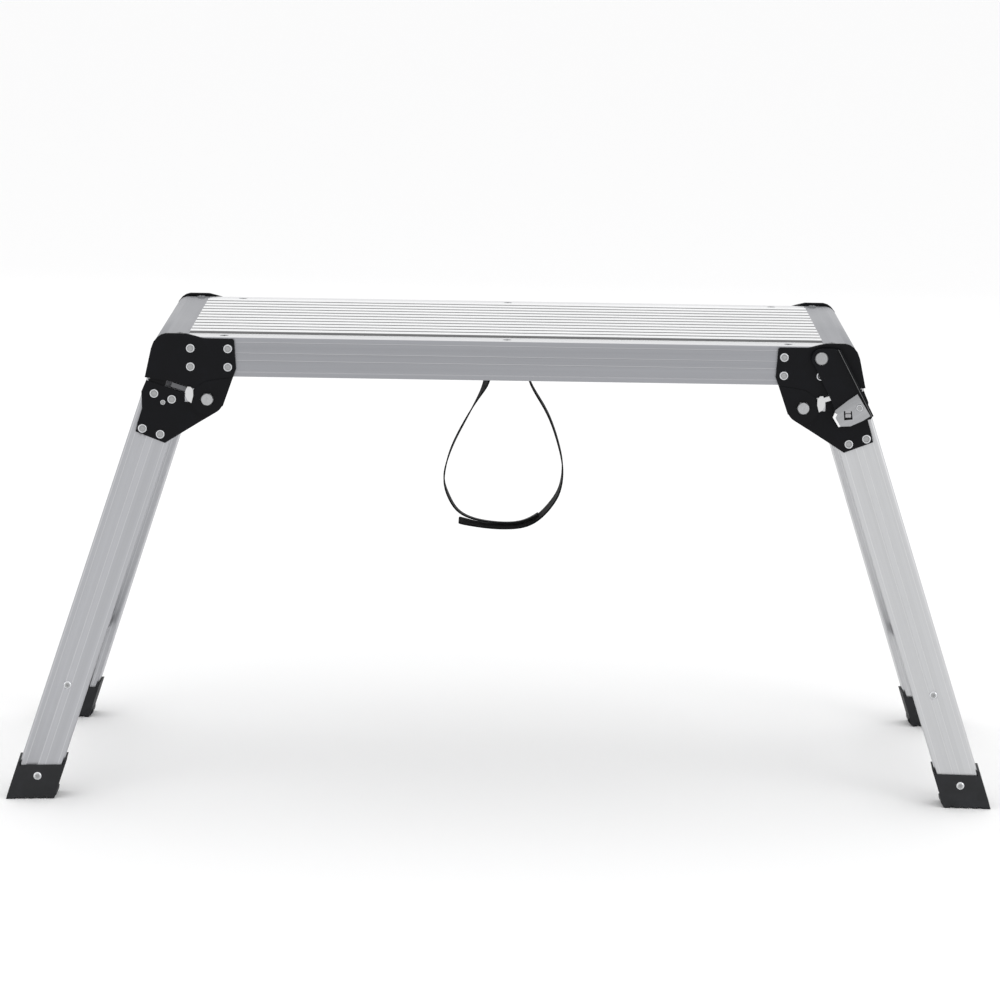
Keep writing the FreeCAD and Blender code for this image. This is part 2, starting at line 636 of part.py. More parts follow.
def foot():
    """Rubber boot with a flat treaded sole, side ears and a heel bulge."""
    zone = flared(leg_section(FOOT_WALL, FOOT_WALL, 380, leg_top_height()))
    full = zone.common(box(0, 2 * PIVOT_X, 0, 2 * RAIL_FACE, 0, FOOT_HEIGHT))
    ears = zone.common(box(0, 2 * PIVOT_X, 0, 2 * RAIL_FACE, FOOT_HEIGHT - 1, FOOT_HEIGHT + FOOT_EAR))
    ears = ears.cut(flared(leg_section(-0.2, FOOT_WALL + 5, 350, leg_top_height())))
    bounds = full.BoundBox
    heel = zone.common(box(0, 2 * PIVOT_X, 0, 2 * RAIL_FACE, 0, 1)).BoundBox
    bulge = prism_y([(heel.XMin + 10, 0), (heel.XMin + 1.5, 0), (heel.XMin - 2.0, 4.0),
                     (heel.XMin - 2.5, 8.0), (heel.XMin + 10, 18)],
                    heel.YMin + HEEL_INSET, heel.YMax - HEEL_INSET)
    boot = fused([full, ears, bulge])
    boot = boot.cut(flared(leg_section(0, 0, 350, leg_top_height())).common(
        box(0, 2 * PIVOT_X, 0, 2 * RAIL_FACE, SOLE, 200)))
    plug = flared(leg_box(-LEG_WIDTH / 2 + LEG_WALL + 0.3, LEG_WIDTH / 2 - LEG_WALL - 0.3,
                          LEG_FACE - LEG_DEPTH + LEG_WALL + 0.3, LEG_FACE - LEG_WALL - 0.3,
                          380, leg_top_height()))
    plug = plug.common(box(0, 2 * PIVOT_X, 0, 2 * RAIL_FACE, SOLE - 1, FOOT_HEIGHT - 4))
    boot = fused([boot, plug])
    count = int((bounds.XMax - heel.XMin) / TREAD_PITCH)
    for i in range(1, count):
        x = heel.XMin + i * TREAD_PITCH
        boot = boot.cut(box(x - TREAD_WIDTH / 2, x + TREAD_WIDTH / 2, 0, 2 * RAIL_FACE, -1, TREAD_DEPTH))
    shank = foot_rivet_shank(RIVET_SHANK)
    return boot.cut(shank)


def foot_rivet_shank(radius):
    """Shank of the foot rivet, through the boot and the leg's outer wall."""
    place = leg_point(0, FOOT_RIVET_AT)
    return flared(pin_y((place.x, place.z), radius, LEG_FACE - LEG_WALL - 3, LEG_FACE + FOOT_WALL + 1))


def foot_rivet():
    """Blind rivet through the boot's outer wall."""
    place = leg_point(0, FOOT_RIVET_AT)
    return flared(rivet_y((place.x, place.z), LEG_FACE + FOOT_WALL, LEG_FACE - LEG_WALL - 3,
                          head=BLIND_HEAD, height=BLIND_HEAD_HEIGHT, shank=RIVET_SHANK))


def leg_with_holes():
    """The leg, drilled for its rivets."""
    shape = leg()
    for place in leg_rivet_places():
        shape = shape.cut(flared(pin_y(place, RIVET_SHANK, LEG_FACE - 5, LEG_FACE + 1)))
    stud = leg_point(1.9, UPPER_BAR_AT)
    shape = shape.cut(flared(pin_y((stud.x, stud.z), 2.0, LEG_FACE - 5, LEG_FACE + 1)))
    low = leg_point(0, LOWER_BAR_AT)
    shape = shape.cut(flared(pin_y((low.x, low.z), RIVET_SHANK, LEG_FACE - 5, LEG_FACE + 1)))
    return shape.cut(foot_rivet_shank(RIVET_SHANK))


def leg_plate_with_holes():
    """The leg plate, drilled for its rivets and stud."""
    shape = leg_plate()
    for place in leg_rivet_places():
        shape = shape.cut(flared(pin_y(place, RIVET_SHANK, LEG_FACE - 1, LEG_PLATE_OUTER + 1)))
    stud = leg_point(1.9, UPPER_BAR_AT)
    return shape.cut(flared(pin_y((stud.x, stud.z), 2.0, LEG_FACE - 1, LEG_PLATE_OUTER + 1)))


def cross_bar_with_holes(along):
    """A cross bar, drilled for the rivets that hold its ends."""
    shape = cross_bar(along)
    across = 1.9 if along == UPPER_BAR_AT else 0.0
    radius = 2.0 if along == UPPER_BAR_AT else RIVET_SHANK
    place = leg_point(across, along)
    hole = flared(pin_y((place.x, place.z), radius, LEG_FACE - 8, LEG_FACE + 1))
    shape = shape.cut(hole).cut(hole.mirror(V(0, 0, 0), V(0, 1, 0)))
    if along == UPPER_BAR_AT:
        for spot in leg_rivet_places():
            hole = flared(pin_y(spot, RIVET_SHANK, LEG_FACE - 8, LEG_FACE + 1))
            shape = shape.cut(hole).cut(hole.mirror(V(0, 0, 0), V(0, 1, 0)))
    return shape


# ---- lock pieces ---------------------------------------------------------
def lever():
    """Black lock lever with a folded outer edge, hung on its pin."""
    pin = (PIVOT_X + LEVER_PIN_AT[0], PIVOT_Z + LEVER_PIN_AT[1])
    outline = [(8.0, 53.0), (14.6, 39.0), (18.6, 30.8), (27.1, 15.1), (32.4, 3.3), (34.0, -6.0),
               (46.0, -13.0), (60.0, -13.5), (73.5, -10.5), (76.4, -6.5), (66.7, 12.6),
               (38.8, 64.8), (31.0, 66.5), (18.0, 66.5)]
    edge = [(76.4, -6.5), (66.7, 12.6), (38.8, 64.8), (38.8 - LEVER_LIP_WIDTH, 64.8),
            (66.7 - LEVER_LIP_WIDTH, 12.6), (76.4 - LEVER_LIP_WIDTH, -6.5)]
    plate = fused([prism_y(from_pivot(outline), LEVER_INNER, LEVER_OUTER),
                   pin_y(pin, 10.8, LEVER_INNER, LEVER_OUTER),
                   prism_y(from_pivot(edge), LEVER_INNER, LEVER_OUTER + LEVER_LIP)])
    bore = pin_y(pin, RIVET_SHANK + 1.2 + PIVOT_FIT, LEVER_INNER - 1, LEVER_OUTER + 1)
    latch_hole = pin_y(latch_pin_place(), RIVET_SHANK, LEVER_INNER - 1, LEVER_OUTER + 1)
    return plate.cut(bore).cut(latch_hole)


def latch_pin_place():
    """Where the latch's pin stands."""
    return (PIVOT_X + LATCH_PIN_AT[0], PIVOT_Z + LATCH_PIN_AT[1])


def lever_pin():
    """Shouldered pin with a spacer collar, fixed to the hinge plate."""
    pin = (PIVOT_X + LEVER_PIN_AT[0], PIVOT_Z + LEVER_PIN_AT[1])
    collar = pin_y(pin, 7.5, PLATE_OUTER, LEVER_INNER - 0.2)
    journal = pin_y(pin, RIVET_SHANK + 1.2, PLATE_OUTER, LEVER_OUTER + 0.3)
    shank = pin_y(pin, RIVET_SHANK, WEB_INNER - 3, PLATE_OUTER)
    head = rivet_y(pin, LEVER_OUTER + 0.3, LEVER_OUTER - 1, head=LEVER_PIN_HEAD, height=2.2,
                   shank=RIVET_SHANK)
    return fused([collar, journal, shank, head])


def lock_bar():
    """Flat bar from front to rear with a tongue in front of each leg plate.

    It is drawn for the right side, where the lever is at the front.
    """
    tip = TONGUE_INNER + TONGUE
    bar = bar_section(BAR_ACROSS[0], BAR_ACROSS[1], LEG_PLATE_OUTER)
    neck = bar_section(BAR_ACROSS[1] - BAR_NECK, BAR_ACROSS[1], tip)
    tongue = [(17.6, 13.6), (14.9, 10.6), (14.8, 3.7), (16.9, -4.2), (21.2, -1.4), (23.3, 3.5),
              (23.4, 8.0), (21.0, 13.9)]
    rear = prism_y(from_pivot(tongue), TONGUE_INNER, tip)
    arm = bar_section(BAR_ACROSS[0], BAR_ACROSS[1], LEVER_INNER).common(
        box(0, 2 * PIVOT_X, -LEVER_INNER, 0, 0, DECK_TOP))
    return fused([bar, neck, arm, rear, rear.mirror(V(0, 0, 0), V(0, 1, 0))])


def bar_section(across_from, across_to, reach):
    """Part of the lock bar between two edges, as far as `reach` to front and rear."""
    corners = [leg_point(across_from, BAR_ALONG[0]), leg_point(across_to, BAR_ALONG[0]),
               leg_point(across_to, BAR_ALONG[1]), leg_point(across_from, BAR_ALONG[1])]
    return prism_y([(p.x, p.z) for p in corners], -reach, reach)


def latch():
    """Zinc latch plate with a window and a lip bent out at its inner end."""
    outline = [(58.0, 17.4), (72.9, -6.6), (64.8, -11.9), (51.4, -18.1), (38.2, -18.7),
               (31.5, -8.0), (34.6, -0.5), (47.5, 10.0)]
    lip = [(38.2, -18.7), (31.5, -8.0), (33.6, -2.9), (36.4, -4.4), (34.6, -8.6), (40.2, -18.0)]
    plate = fused([prism_y(from_pivot(outline), LATCH_INNER, LATCH_INNER + LATCH),
                   prism_y(from_pivot(lip), LATCH_INNER, LATCH_INNER + LATCH + 3.0)])
    plate = plate.cut(prism_y(from_pivot(LATCH_WINDOW), LATCH_INNER - 1, LATCH_INNER + 5))
    return plate.cut(pin_y(latch_pin_place(), RIVET_SHANK + PIVOT_FIT, LATCH_INNER - 1, LATCH_INNER + 5))


def latch_pin():
    """Rivet that the latch turns on, fixed in the lever."""
    face = LATCH_INNER + LATCH + LATCH_GAP
    return rivet_y(latch_pin_place(), face, LEVER_INNER + 0.2, head=LATCH_PIN_HEAD, height=1.6,
                   shank=RIVET_SHANK)


def latch_spring():
    """Curled spring tab that hangs from the upper edge of the latch's window."""
    x = PIVOT_X + SPRING_AT[0]
    z = PIVOT_Z + SPRING_AT[1]
    left = x - SPRING_WIDTH / 2
    y = LATCH_INNER + SPRING_RADIUS
    curl = Part.makeCylinder(SPRING_RADIUS, SPRING_WIDTH, V(left, y, z), V(1, 0, 0))
    hollow = Part.makeCylinder(SPRING_RADIUS - SPRING, SPRING_WIDTH + 2, V(left - 1, y, z), V(1, 0, 0))
    strip = box(left, left + SPRING_WIDTH, LATCH_INNER, LATCH_INNER + SPRING, z,
                PIVOT_Z + LATCH_WINDOW[0][1])
    return fused([curl, strip]).cut(hollow)


# ---- strap ---------------------------------------------------------------
def strap():
    """Webbing loop under the platform, drawn as a plain flat band."""
    outer, inner = [], []
    for i, (x, z) in enumerate(STRAP_ROUTE):
        before = STRAP_ROUTE[max(i - 1, 0)]
        after = STRAP_ROUTE[min(i + 1, len(STRAP_ROUTE) - 1)]
        dx, dz = after[0] - before[0], after[1] - before[1]
        length = math.hypot(dx, dz)
        offset = (dz / length * STRAP / 2, -dx / length * STRAP / 2)
        outer.append((x + offset[0], z + offset[1]))
        inner.append((x - offset[0], z - offset[1]))
    return prism_y(outer + inner[::-1], -STRAP_WIDTH / 2, STRAP_WIDTH / 2)


def strap_anchor():
    """Plate under the centre support that clamps both strap ends."""
    first, last = STRAP_ROUTE[0], STRAP_ROUTE[-1]
    top = RAIL_BOTTOM + RAIL_WALL
    plate = box(first[0] - 12, last[0] + 12, -STRAP_WIDTH / 2 - 6, STRAP_WIDTH / 2 + 6, first[1], top)
    rivets = [Part.makeCylinder(3.2, 1.6, V(x, y, first[1] - 1.6))
              for x in (-SUPPORT_WIDTH / 2 + 4, SUPPORT_WIDTH / 2 - 4) for y in (-8, 8)]
    return fused([plate] + rivets)


# ---- assembly ------------------------------------------------------------
def build():
    """Every node's shape, by name."""
    nodes = {}
    rail = side_rail()
    nodes["rear_side_rail"] = rail
    nodes["front_side_rail"] = rail.mirror(V(0, 0, 0), V(0, 1, 0))
    end = end_rail()
    nodes["right_end_rail"] = end
    nodes["left_end_rail"] = end.mirror(V(0, 0, 0), V(1, 0, 0))
    for name, y in PLANK_PLACES.items():
        nodes[f"deck_plank_{name}"] = plank(y)
    for name, x in SUPPORT_PLACES.items():
        nodes[f"cross_support_{name}"] = cross_support(x)
    nodes["spacer_blocks"] = spacer_blocks()
    nodes["flange_screws"] = flange_screws()
    nodes["deck_rivets"] = deck_rivets()
    nodes["end_rail_screws"] = end_rail_screws()

    plate = hinge_plate()
    plain_rivets = Part.makeCompound(hinge_rivets(False))
    lever_side_rivets = Part.makeCompound(hinge_rivets(True))
    rivet_sets = []
    for side in SIDES:
        for row in ROWS:
            nodes[f"hinge_plate_{row}_{side}"] = placed(plate, side, row)
            rivets = lever_side_rivets if LEVER_ROW[side] == row else plain_rivets
            rivet_sets.extend(placed(rivets, side, row).Solids)
    nodes["hinge_plate_rivets"] = Part.makeCompound(rivet_sets)
    nodes["pivot_bolts"] = all_corners(pivot_bolt())
    nodes["pivot_nuts"] = all_corners(pivot_nut())
    nodes["stop_blocks"] = all_corners(stop_block())
    pin = lever_pin()
    nodes["lever_pins"] = Part.makeCompound([placed(pin, side, LEVER_ROW[side]) for side in SIDES])
    nodes["strap"] = strap()
    nodes["strap_anchor"] = strap_anchor()

    leg_shape = leg_with_holes()
    leg_plate_shape = leg_plate_with_holes()
    boot = foot()
    plate_rivets = Part.makeCompound(leg_plate_rivets())
    small_rivets = Part.makeCompound([lower_bar_rivet(), foot_rivet()])
    for side in SIDES:
        for row in ROWS:
            nodes[f"leg_{row}_{side}"] = placed(leg_shape, side, row)
            nodes[f"leg_plate_{row}_{side}"] = placed(leg_plate_shape, side, row)
            nodes[f"foot_{row}_{side}"] = placed(boot, side, row)
        nodes[f"upper_cross_bar_{side}"] = placed(cross_bar_with_holes(UPPER_BAR_AT), side, "rear")
        nodes[f"lower_cross_bar_{side}"] = placed(cross_bar_with_holes(LOWER_BAR_AT), side, "rear")
        nodes[f"leg_plate_rivets_{side}"] = both_rows(plate_rivets, side)
        nodes[f"leg_rivets_{side}"] = both_rows(small_rivets, side)

    lock_shapes = {"lock_lever": lever(), "latch": latch(), "latch_pin": latch_pin(),
                   "latch_spring": latch_spring()}
    for side in SIDES:
        for name, shape in lock_shapes.items():
            nodes[f"{name}_{side}"] = placed(shape, side, LEVER_ROW[side])
    bar = lock_bar()
    nodes["lock_bar_right"] = bar
    turned = bar.copy()
    turned.rotate(V(0, 0, 0), V(0, 0, 1), 180)
    nodes["lock_bar_left"] = turned
    return nodes


def main():
    """Write one STEP file for each node."""
    os.makedirs("parts", exist_ok=True)
    for name, shape in build().items():
        shape.exportStep(f"parts/{name}.step")


main()
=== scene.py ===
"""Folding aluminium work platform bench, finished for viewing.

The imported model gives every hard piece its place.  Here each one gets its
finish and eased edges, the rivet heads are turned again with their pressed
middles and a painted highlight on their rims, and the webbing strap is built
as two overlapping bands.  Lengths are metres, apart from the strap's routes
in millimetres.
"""

import logging
import math
from dataclasses import dataclass, field, replace
from enum import Enum
from typing import ClassVar

import bmesh
import bpy
from mathutils import Matrix, Quaternion, Vector

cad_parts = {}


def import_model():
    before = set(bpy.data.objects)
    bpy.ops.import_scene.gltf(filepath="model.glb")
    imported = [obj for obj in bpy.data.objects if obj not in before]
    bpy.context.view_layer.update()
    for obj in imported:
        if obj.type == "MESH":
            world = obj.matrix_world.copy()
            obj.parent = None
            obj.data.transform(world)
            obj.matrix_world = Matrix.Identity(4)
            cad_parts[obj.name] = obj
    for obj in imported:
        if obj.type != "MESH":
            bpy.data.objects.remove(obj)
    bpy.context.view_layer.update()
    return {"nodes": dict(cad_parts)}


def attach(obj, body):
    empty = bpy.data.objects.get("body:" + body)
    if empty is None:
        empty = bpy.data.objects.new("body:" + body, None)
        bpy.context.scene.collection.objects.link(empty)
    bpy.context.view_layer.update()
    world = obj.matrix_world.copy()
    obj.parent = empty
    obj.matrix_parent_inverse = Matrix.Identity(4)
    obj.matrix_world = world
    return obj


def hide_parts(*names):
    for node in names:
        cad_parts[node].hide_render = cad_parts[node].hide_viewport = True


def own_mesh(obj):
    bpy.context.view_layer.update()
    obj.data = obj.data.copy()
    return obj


LOG = logging.getLogger("bench")
MM = 0.001
UP = Vector((0.0, 0.0, 1.0))
REARWARD = Vector((0.0, 1.0, 0.0))
WELD = 0.000004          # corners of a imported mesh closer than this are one

Triple = tuple[float, float, float]
Profile = tuple[tuple[float, float], ...]


class Side(Enum):
    """The bench's two ends, by the sign of X."""

    LEFT = -1
    RIGHT = 1

    @property
    def word(self) -> str:
        """The side's name as the frame's nodes use it."""
        return self.name.lower()


class Row(Enum):
    """The bench's two long sides, by the sign of Y."""

    FRONT = -1
    REAR = 1

    @property
    def word(self) -> str:
        """The row's name as the frame's nodes use it."""
        return self.name.lower()


class Slot(Enum):
    """The record's material slots for the pieces made here."""

    FASTENER = "zinc_fastener"
    WEBBING = "webbing"


# ---- finishes --------------------------------------------------------------
@dataclass(frozen=True)
class Section:
    """Where painted highlight lines lie across a piece: an extrusion's raised lines and sunk channels, a
    crease, a lip, a tongue.

    The section is measured along `across` from `start` over `width`; places
    are shares of that width.
    """

    across: Triple
    start: float
    width: float
    lines: tuple[float, ...]
    half_line: float = 0.014
    lift: float = 0.22


class NodeBoard:
    """A new material's node tree, with short calls to fill it."""

    def __init__(self, name: str) -> None:
        """Starts an empty tree with a shader and an output.

        Args:
            name: The material's name.
        """
        self.material = bpy.data.materials.new(name)
        self.material.use_nodes = True
        self.tree = self.material.node_tree
        self.tree.nodes.clear()
        self.shader = self.add("ShaderNodeBsdfPrincipled")
        output = self.add("ShaderNodeOutputMaterial")
        self.join(self.shader.outputs["BSDF"], output.inputs["Surface"])

    @classmethod
    def reopen(cls, material: bpy.types.Material) -> "NodeBoard":
        """Opens a finished material again to add to it.

        Args:
            material: The material.

        Returns:
            A board on its tree.
        """
        board = cls.__new__(cls)
        board.material = material
        board.tree = material.node_tree
        board.shader = board.tree.nodes["Principled BSDF"]
        return board

    def add(self, kind: str, **inputs: object) -> bpy.types.Node:
        """Adds a node and sets inputs by name, with _ for a space.

        Args:
            kind: The node's type name.
            **inputs: Values for its sockets.

        Returns:
            The new node.
        """
        node = self.tree.nodes.new(kind)
        for name, value in inputs.items():
            node.inputs[name.replace("_", " ")].default_value = value
        return node

    def join(self, source: bpy.types.NodeSocket, target: bpy.types.NodeSocket) -> None:
        """Links one socket to another."""
        self.tree.links.new(source, target)

    def set(self, **inputs: object) -> None:
        """Sets plain values on the shader's own sockets."""
        for name, value in inputs.items():
            self.shader.inputs[name.replace("_", " ")].default_value = value

    def place(self, turn: Triple, stretch: Triple) -> bpy.types.NodeSocket:
        """Object coordinates, turned first and then stretched.

        Args:
            turn: Rotation in radians.
            stretch: Scale along each turned axis, per metre.

        Returns:
            The vector socket.
        """
        coordinate = self.add("ShaderNodeTexCoord")
        turned = self.add("ShaderNodeMapping", Rotation=turn)
        stretched = self.add("ShaderNodeMapping", Scale=stretch)
        self.join(coordinate.outputs["Object"], turned.inputs["Vector"])
        self.join(turned.outputs["Vector"], stretched.inputs["Vector"])
        return stretched.outputs["Vector"]

    def plain(self) -> bpy.types.NodeSocket:
        """Object coordinates as they are, in metres."""
        return self.place((0.0, 0.0, 0.0), (1.0, 1.0, 1.0))

    def noise(self, where: bpy.types.NodeSocket, scale: float, detail: float = 3.0) -> bpy.types.NodeSocket:
        """Noise from 0 to 1 over a vector.

        Args:
            where: The vector socket.
            scale: The noise's scale.
            detail: How many finer layers it has.

        Returns:
            The value socket.
        """
        noise = self.add("ShaderNodeTexNoise", Scale=scale, Detail=detail, Roughness=0.6)
        self.join(where, noise.inputs["Vector"])
        return noise.outputs["Fac"]

    def between(self, value: bpy.types.NodeSocket, low: float, high: float,
                start: float = 0.3, end: float = 0.7) -> bpy.types.NodeSocket:
        """Maps a value from start..end to low..high.

        Args:
            value: The socket to map.
            low: Result at start.
            high: Result at end.
            start: Where the value starts to count.
            end: Where it stops.

        Returns:
            The mapped socket.
        """
        mapped = self.add("ShaderNodeMapRange")
        mapped.inputs["From Min"].default_value = start
        mapped.inputs["From Max"].default_value = end
        mapped.inputs["To Min"].default_value = low
        mapped.inputs["To Max"].default_value = high
        self.join(value, mapped.inputs["Value"])
        return mapped.outputs["Result"]

    def tint(self, value: bpy.types.NodeSocket, dark: Triple, light: Triple) -> None:
        """Colours the surface from dark to light over a value from 0 to 1."""
        ramp = self.add("ShaderNodeValToRGB")
        ramp.color_ramp.elements[0].color = (*dark, 1.0)
        ramp.color_ramp.elements[1].color = (*light, 1.0)
        self.join(value, ramp.inputs["Fac"])
        self.join(ramp.outputs["Color"], self.shader.inputs["Base Color"])

    def lines(self, section: Section) -> bpy.types.NodeSocket:
        """Value that is 1 on an extrusion's lines and 0 between them, the mask of the painted highlights.

        Args:
            section: Where the lines are.

        Returns:
            The value socket.
        """
        coordinate = self.add("ShaderNodeTexCoord")
        along = self.add("ShaderNodeVectorMath")
        along.operation = "DOT_PRODUCT"
        self.join(coordinate.outputs["Object"], along.inputs[0])
        along.inputs[1].default_value = section.across
        share = self.between(along.outputs["Value"], 0.0, 1.0, section.start, section.start + section.width)
        ramp = self.add("ShaderNodeValToRGB")
        stops = ramp.color_ramp.elements
        stops[0].color = stops[1].color = (0.0, 0.0, 0.0, 1.0)
        for line in section.lines:
            for shift, level in ((-section.half_line, 0.0), (0.0, 1.0), (section.half_line, 0.0)):
                stops.new(line + shift).color = (level, level, level, 1.0)
        self.join(share, ramp.inputs["Fac"])
        return ramp.outputs["Color"]

    def lighten(self, mask: bpy.types.NodeSocket, amount: float) -> None:
        """Lightens the base colour where a mask is 1, or darkens it if amount is below 0."""
        colour = self.shader.inputs["Base Color"]
        mix = self.add("ShaderNodeMix")
        mix.data_type = "RGBA"
        mix.blend_type = "MIX"
        plain = colour.links[0].from_socket
        level = 1.0 if amount > 0 else 0.0
        share = self.between(mask, 0.0, abs(amount), 0.0, 1.0)
        self.join(share, mix.inputs[0])
        self.join(plain, mix.inputs[6])
        mix.inputs[7].default_value = (level, level, level, 1.0)
        self.join(mix.outputs[2], colour)

    def relief(self, height: bpy.types.NodeSocket, depth: float, strength: float) -> None:
        """Adds a bump under whatever bump is already there.

        Args:
            height: Value socket from 0 to 1.
            depth: Full height in metres.
            strength: Share of the bump that shows.
        """
        bump = self.add("ShaderNodeBump", Strength=strength, Distance=depth)
        self.join(height, bump.inputs["Height"])
        normal = self.shader.inputs["Normal"]
        if normal.links:
            self.join(normal.links[0].from_socket, bump.inputs["Normal"])
        self.join(bump.outputs["Normal"], normal)


def shade(colour: Triple, factor: float) -> Triple:
    """A colour made lighter or darker by a factor."""
    return (colour[0] * factor, colour[1] * factor, colour[2] * factor)


@dataclass(frozen=True)
class MillAluminium:
    """Extruded aluminium with fine die lines along its grain; it can carry painted highlights on its
    section's lines and painted light on its top.
    """

    name: str
    colour: Triple
    grain: Triple
    roughness: float = 0.4
    streak_pitch: float = 0.0012
    contrast: float = 0.06
    section: Section | None = None
    painted_light_above: float | None = None
    painted_light_by: float = 0.5

    def material(self) -> bpy.types.Material:
        """Builds the node material."""
        board = NodeBoard(self.name)
        turn = Vector(self.grain).rotation_difference(UP).to_euler()
        across = 1.0 / self.streak_pitch
        lines = board.noise(board.place(tuple(turn), (across, across, 2.5)), 1.0, 4.0)
        bands = board.noise(board.place(tuple(turn), (across / 9, across / 9, 0.8)), 1.0, 2.0)
        cloud = board.noise(board.place(tuple(turn), (14.0, 14.0, 5.0)), 1.0, 3.0)
        mixed = board.add("ShaderNodeMath")
        mixed.operation = "MULTIPLY_ADD"
        mixed.inputs[1].default_value = 0.55
        board.join(lines, mixed.inputs[0])
        board.join(board.between(bands, 0.0, 0.45), mixed.inputs[2])
        board.tint(board.between(mixed.outputs[0], 0.0, 1.0, 0.25, 0.75),
                   shade(self.colour, 1 - self.contrast), shade(self.colour, 1 + self.contrast))
        # Painted highlights along the section's lines.
        if self.section:
            board.lighten(board.lines(self.section), self.section.lift)
        # Painted light: the piece is lightened above a given height, as its lit top.
        if self.painted_light_above is not None:
            height = board.add("ShaderNodeSeparateXYZ")
            board.join(board.plain(), height.inputs["Vector"])
            edge = board.between(height.outputs["Z"], 0.0, 1.0, self.painted_light_above, self.painted_light_above + MM / 2)
            board.lighten(edge, self.painted_light_by)
        board.join(board.between(cloud, self.roughness - 0.05, self.roughness + 0.06),
                   board.shader.inputs["Roughness"])
        board.relief(lines, 0.00006, 0.35)
        board.set(Metallic=1.0)
        return board.material


@dataclass(frozen=True)
class RibbedDeck(MillAluminium):
    """Deck extrusion with painted shade in its grooves: below `crest` it darkens down to `floor`."""

    floor: float = 0.5096
    crest: float = 0.50999

    def material(self) -> bpy.types.Material:
        """Builds the node material."""
        made = super().material()
        board = NodeBoard.reopen(made)
        place = board.plain()
        height = board.add("ShaderNodeSeparateXYZ")
        board.join(place, height.inputs["Vector"])
        # Painted shade in the grooves, darker towards their floors.
        board.lighten(board.between(height.outputs["Z"], 1.0, 0.0, self.floor, self.crest), -0.8)
        return made


@dataclass(frozen=True)
class PowderCoat:
    """Satin black powder coat with a fine orange peel and rubbed patches, and an optional painted highlight
    along a fold.
    """

    name: str
    colour: Triple = (0.0018, 0.0020, 0.0031)
    roughness: float = 0.42
    fold: Section | None = None

    def material(self) -> bpy.types.Material:
        """Builds the node material."""
        board = NodeBoard(self.name)
        plain = board.plain()
        rubbed = board.noise(plain, 60.0, 6.0)
        board.tint(board.between(rubbed, 0.0, 1.0, 0.45, 0.8), self.colour, shade(self.colour, 1.9))
        # Painted highlight along the fold.
        if self.fold:
            board.lighten(board.lines(self.fold), self.fold.lift)
        board.join(board.between(rubbed, self.roughness - 0.05, self.roughness + 0.1),
                   board.shader.inputs["Roughness"])
        board.relief(board.noise(plain, 1500.0, 2.0), 0.00005, 0.35)
        board.set(Specular_IOR_Level=0.14)
        return board.material


@dataclass(frozen=True)
class ZincPlate:
    """Bright zinc plate with a faint cloudy grain."""

    name: str
    colour: Triple
    roughness: float = 0.22
    grain: float = 350.0

    def material(self) -> bpy.types.Material:
        """Builds the node material."""
        board = NodeBoard(self.name)
        plain = board.plain()
        cloud = board.noise(plain, self.grain, 4.0)
        board.tint(board.between(cloud, 0.0, 1.0), shade(self.colour, 0.84), self.colour)
        board.join(board.between(cloud, self.roughness - 0.06, self.roughness + 0.1),
                   board.shader.inputs["Roughness"])
        board.relief(cloud, 0.00008, 0.25)
        board.set(Metallic=1.0)
        return board.material


@dataclass(frozen=True)
class MouldedBlack:
    """Moulded rubber or plastic with a fine matt grain and floor scuffs."""

    name: str
    colour: Triple
    roughness: float
    scuffs: float = 0.0

    def material(self) -> bpy.types.Material:
        """Builds the node material."""
        board = NodeBoard(self.name)
        plain = board.plain()
        cloud = board.noise(plain, 45.0, 6.0)
        wear_and_crease_highlight = board.between(cloud, 0.0, 1.0, 0.42, 0.72)
        if self.scuffs:
            height = board.add("ShaderNodeSeparateXYZ")
            board.join(plain, height.inputs["Vector"])
            low = board.between(height.outputs["Z"], 1.0 + self.scuffs, 1.0, 0.0, 0.02)
            product = board.add("ShaderNodeMath")
            product.operation = "MULTIPLY"
            board.join(wear_and_crease_highlight, product.inputs[0])
            board.join(low, product.inputs[1])
            wear_and_crease_highlight = product.outputs[0]
        board.tint(wear_and_crease_highlight, self.colour, shade(self.colour, 1.8))
        board.join(board.between(cloud, self.roughness - 0.06, self.roughness + 0.08),
                   board.shader.inputs["Roughness"])
        board.relief(board.noise(plain, 2200.0, 3.0), 0.00012, 0.5)
        board.set(Specular_IOR_Level=0.35)
        return board.material


@dataclass(frozen=True)
class WovenWebbing:
    """Black polyester webbing: rows of weave along the strap's own UV map."""

    name: str
    colour: Triple = (0.0075, 0.008, 0.009)
    yarn: float = 0.0011

    def material(self) -> bpy.types.Material:
        """Builds the node material."""
        board = NodeBoard(self.name)
        chart = board.add("ShaderNodeUVMap")
        chart.uv_map = "Weave"
        heights = []
        for axis, pitch in (("X", self.yarn), ("Y", self.yarn * 1.6)):
            wave = board.add("ShaderNodeTexWave", Scale=1.0 / pitch / math.tau, Distortion=0.4,
                             Detail=1.0, Detail_Scale=3.0)
            wave.bands_direction = axis
            board.join(chart.outputs["UV"], wave.inputs["Vector"])
            heights.append(wave.outputs["Fac"])
        weave = board.add("ShaderNodeMath")
        weave.operation = "MULTIPLY"
        board.join(heights[0], weave.inputs[0])
        board.join(heights[1], weave.inputs[1])
        fuzz = board.noise(board.plain(), 420.0, 4.0)
        blend = board.add("ShaderNodeMath")
        blend.operation = "MULTIPLY"
        board.join(weave.outputs[0], blend.inputs[0])
        board.join(board.between(fuzz, 0.5, 1.0), blend.inputs[1])
        board.tint(blend.outputs[0], shade(self.colour, 0.55), shade(self.colour, 1.9))
        board.relief(weave.outputs[0], 0.0003, 0.6)
        board.set(Roughness=0.85, Sheen_Weight=0.06, Sheen_Roughness=0.4, Specular_IOR_Level=0.12)
        return board.material


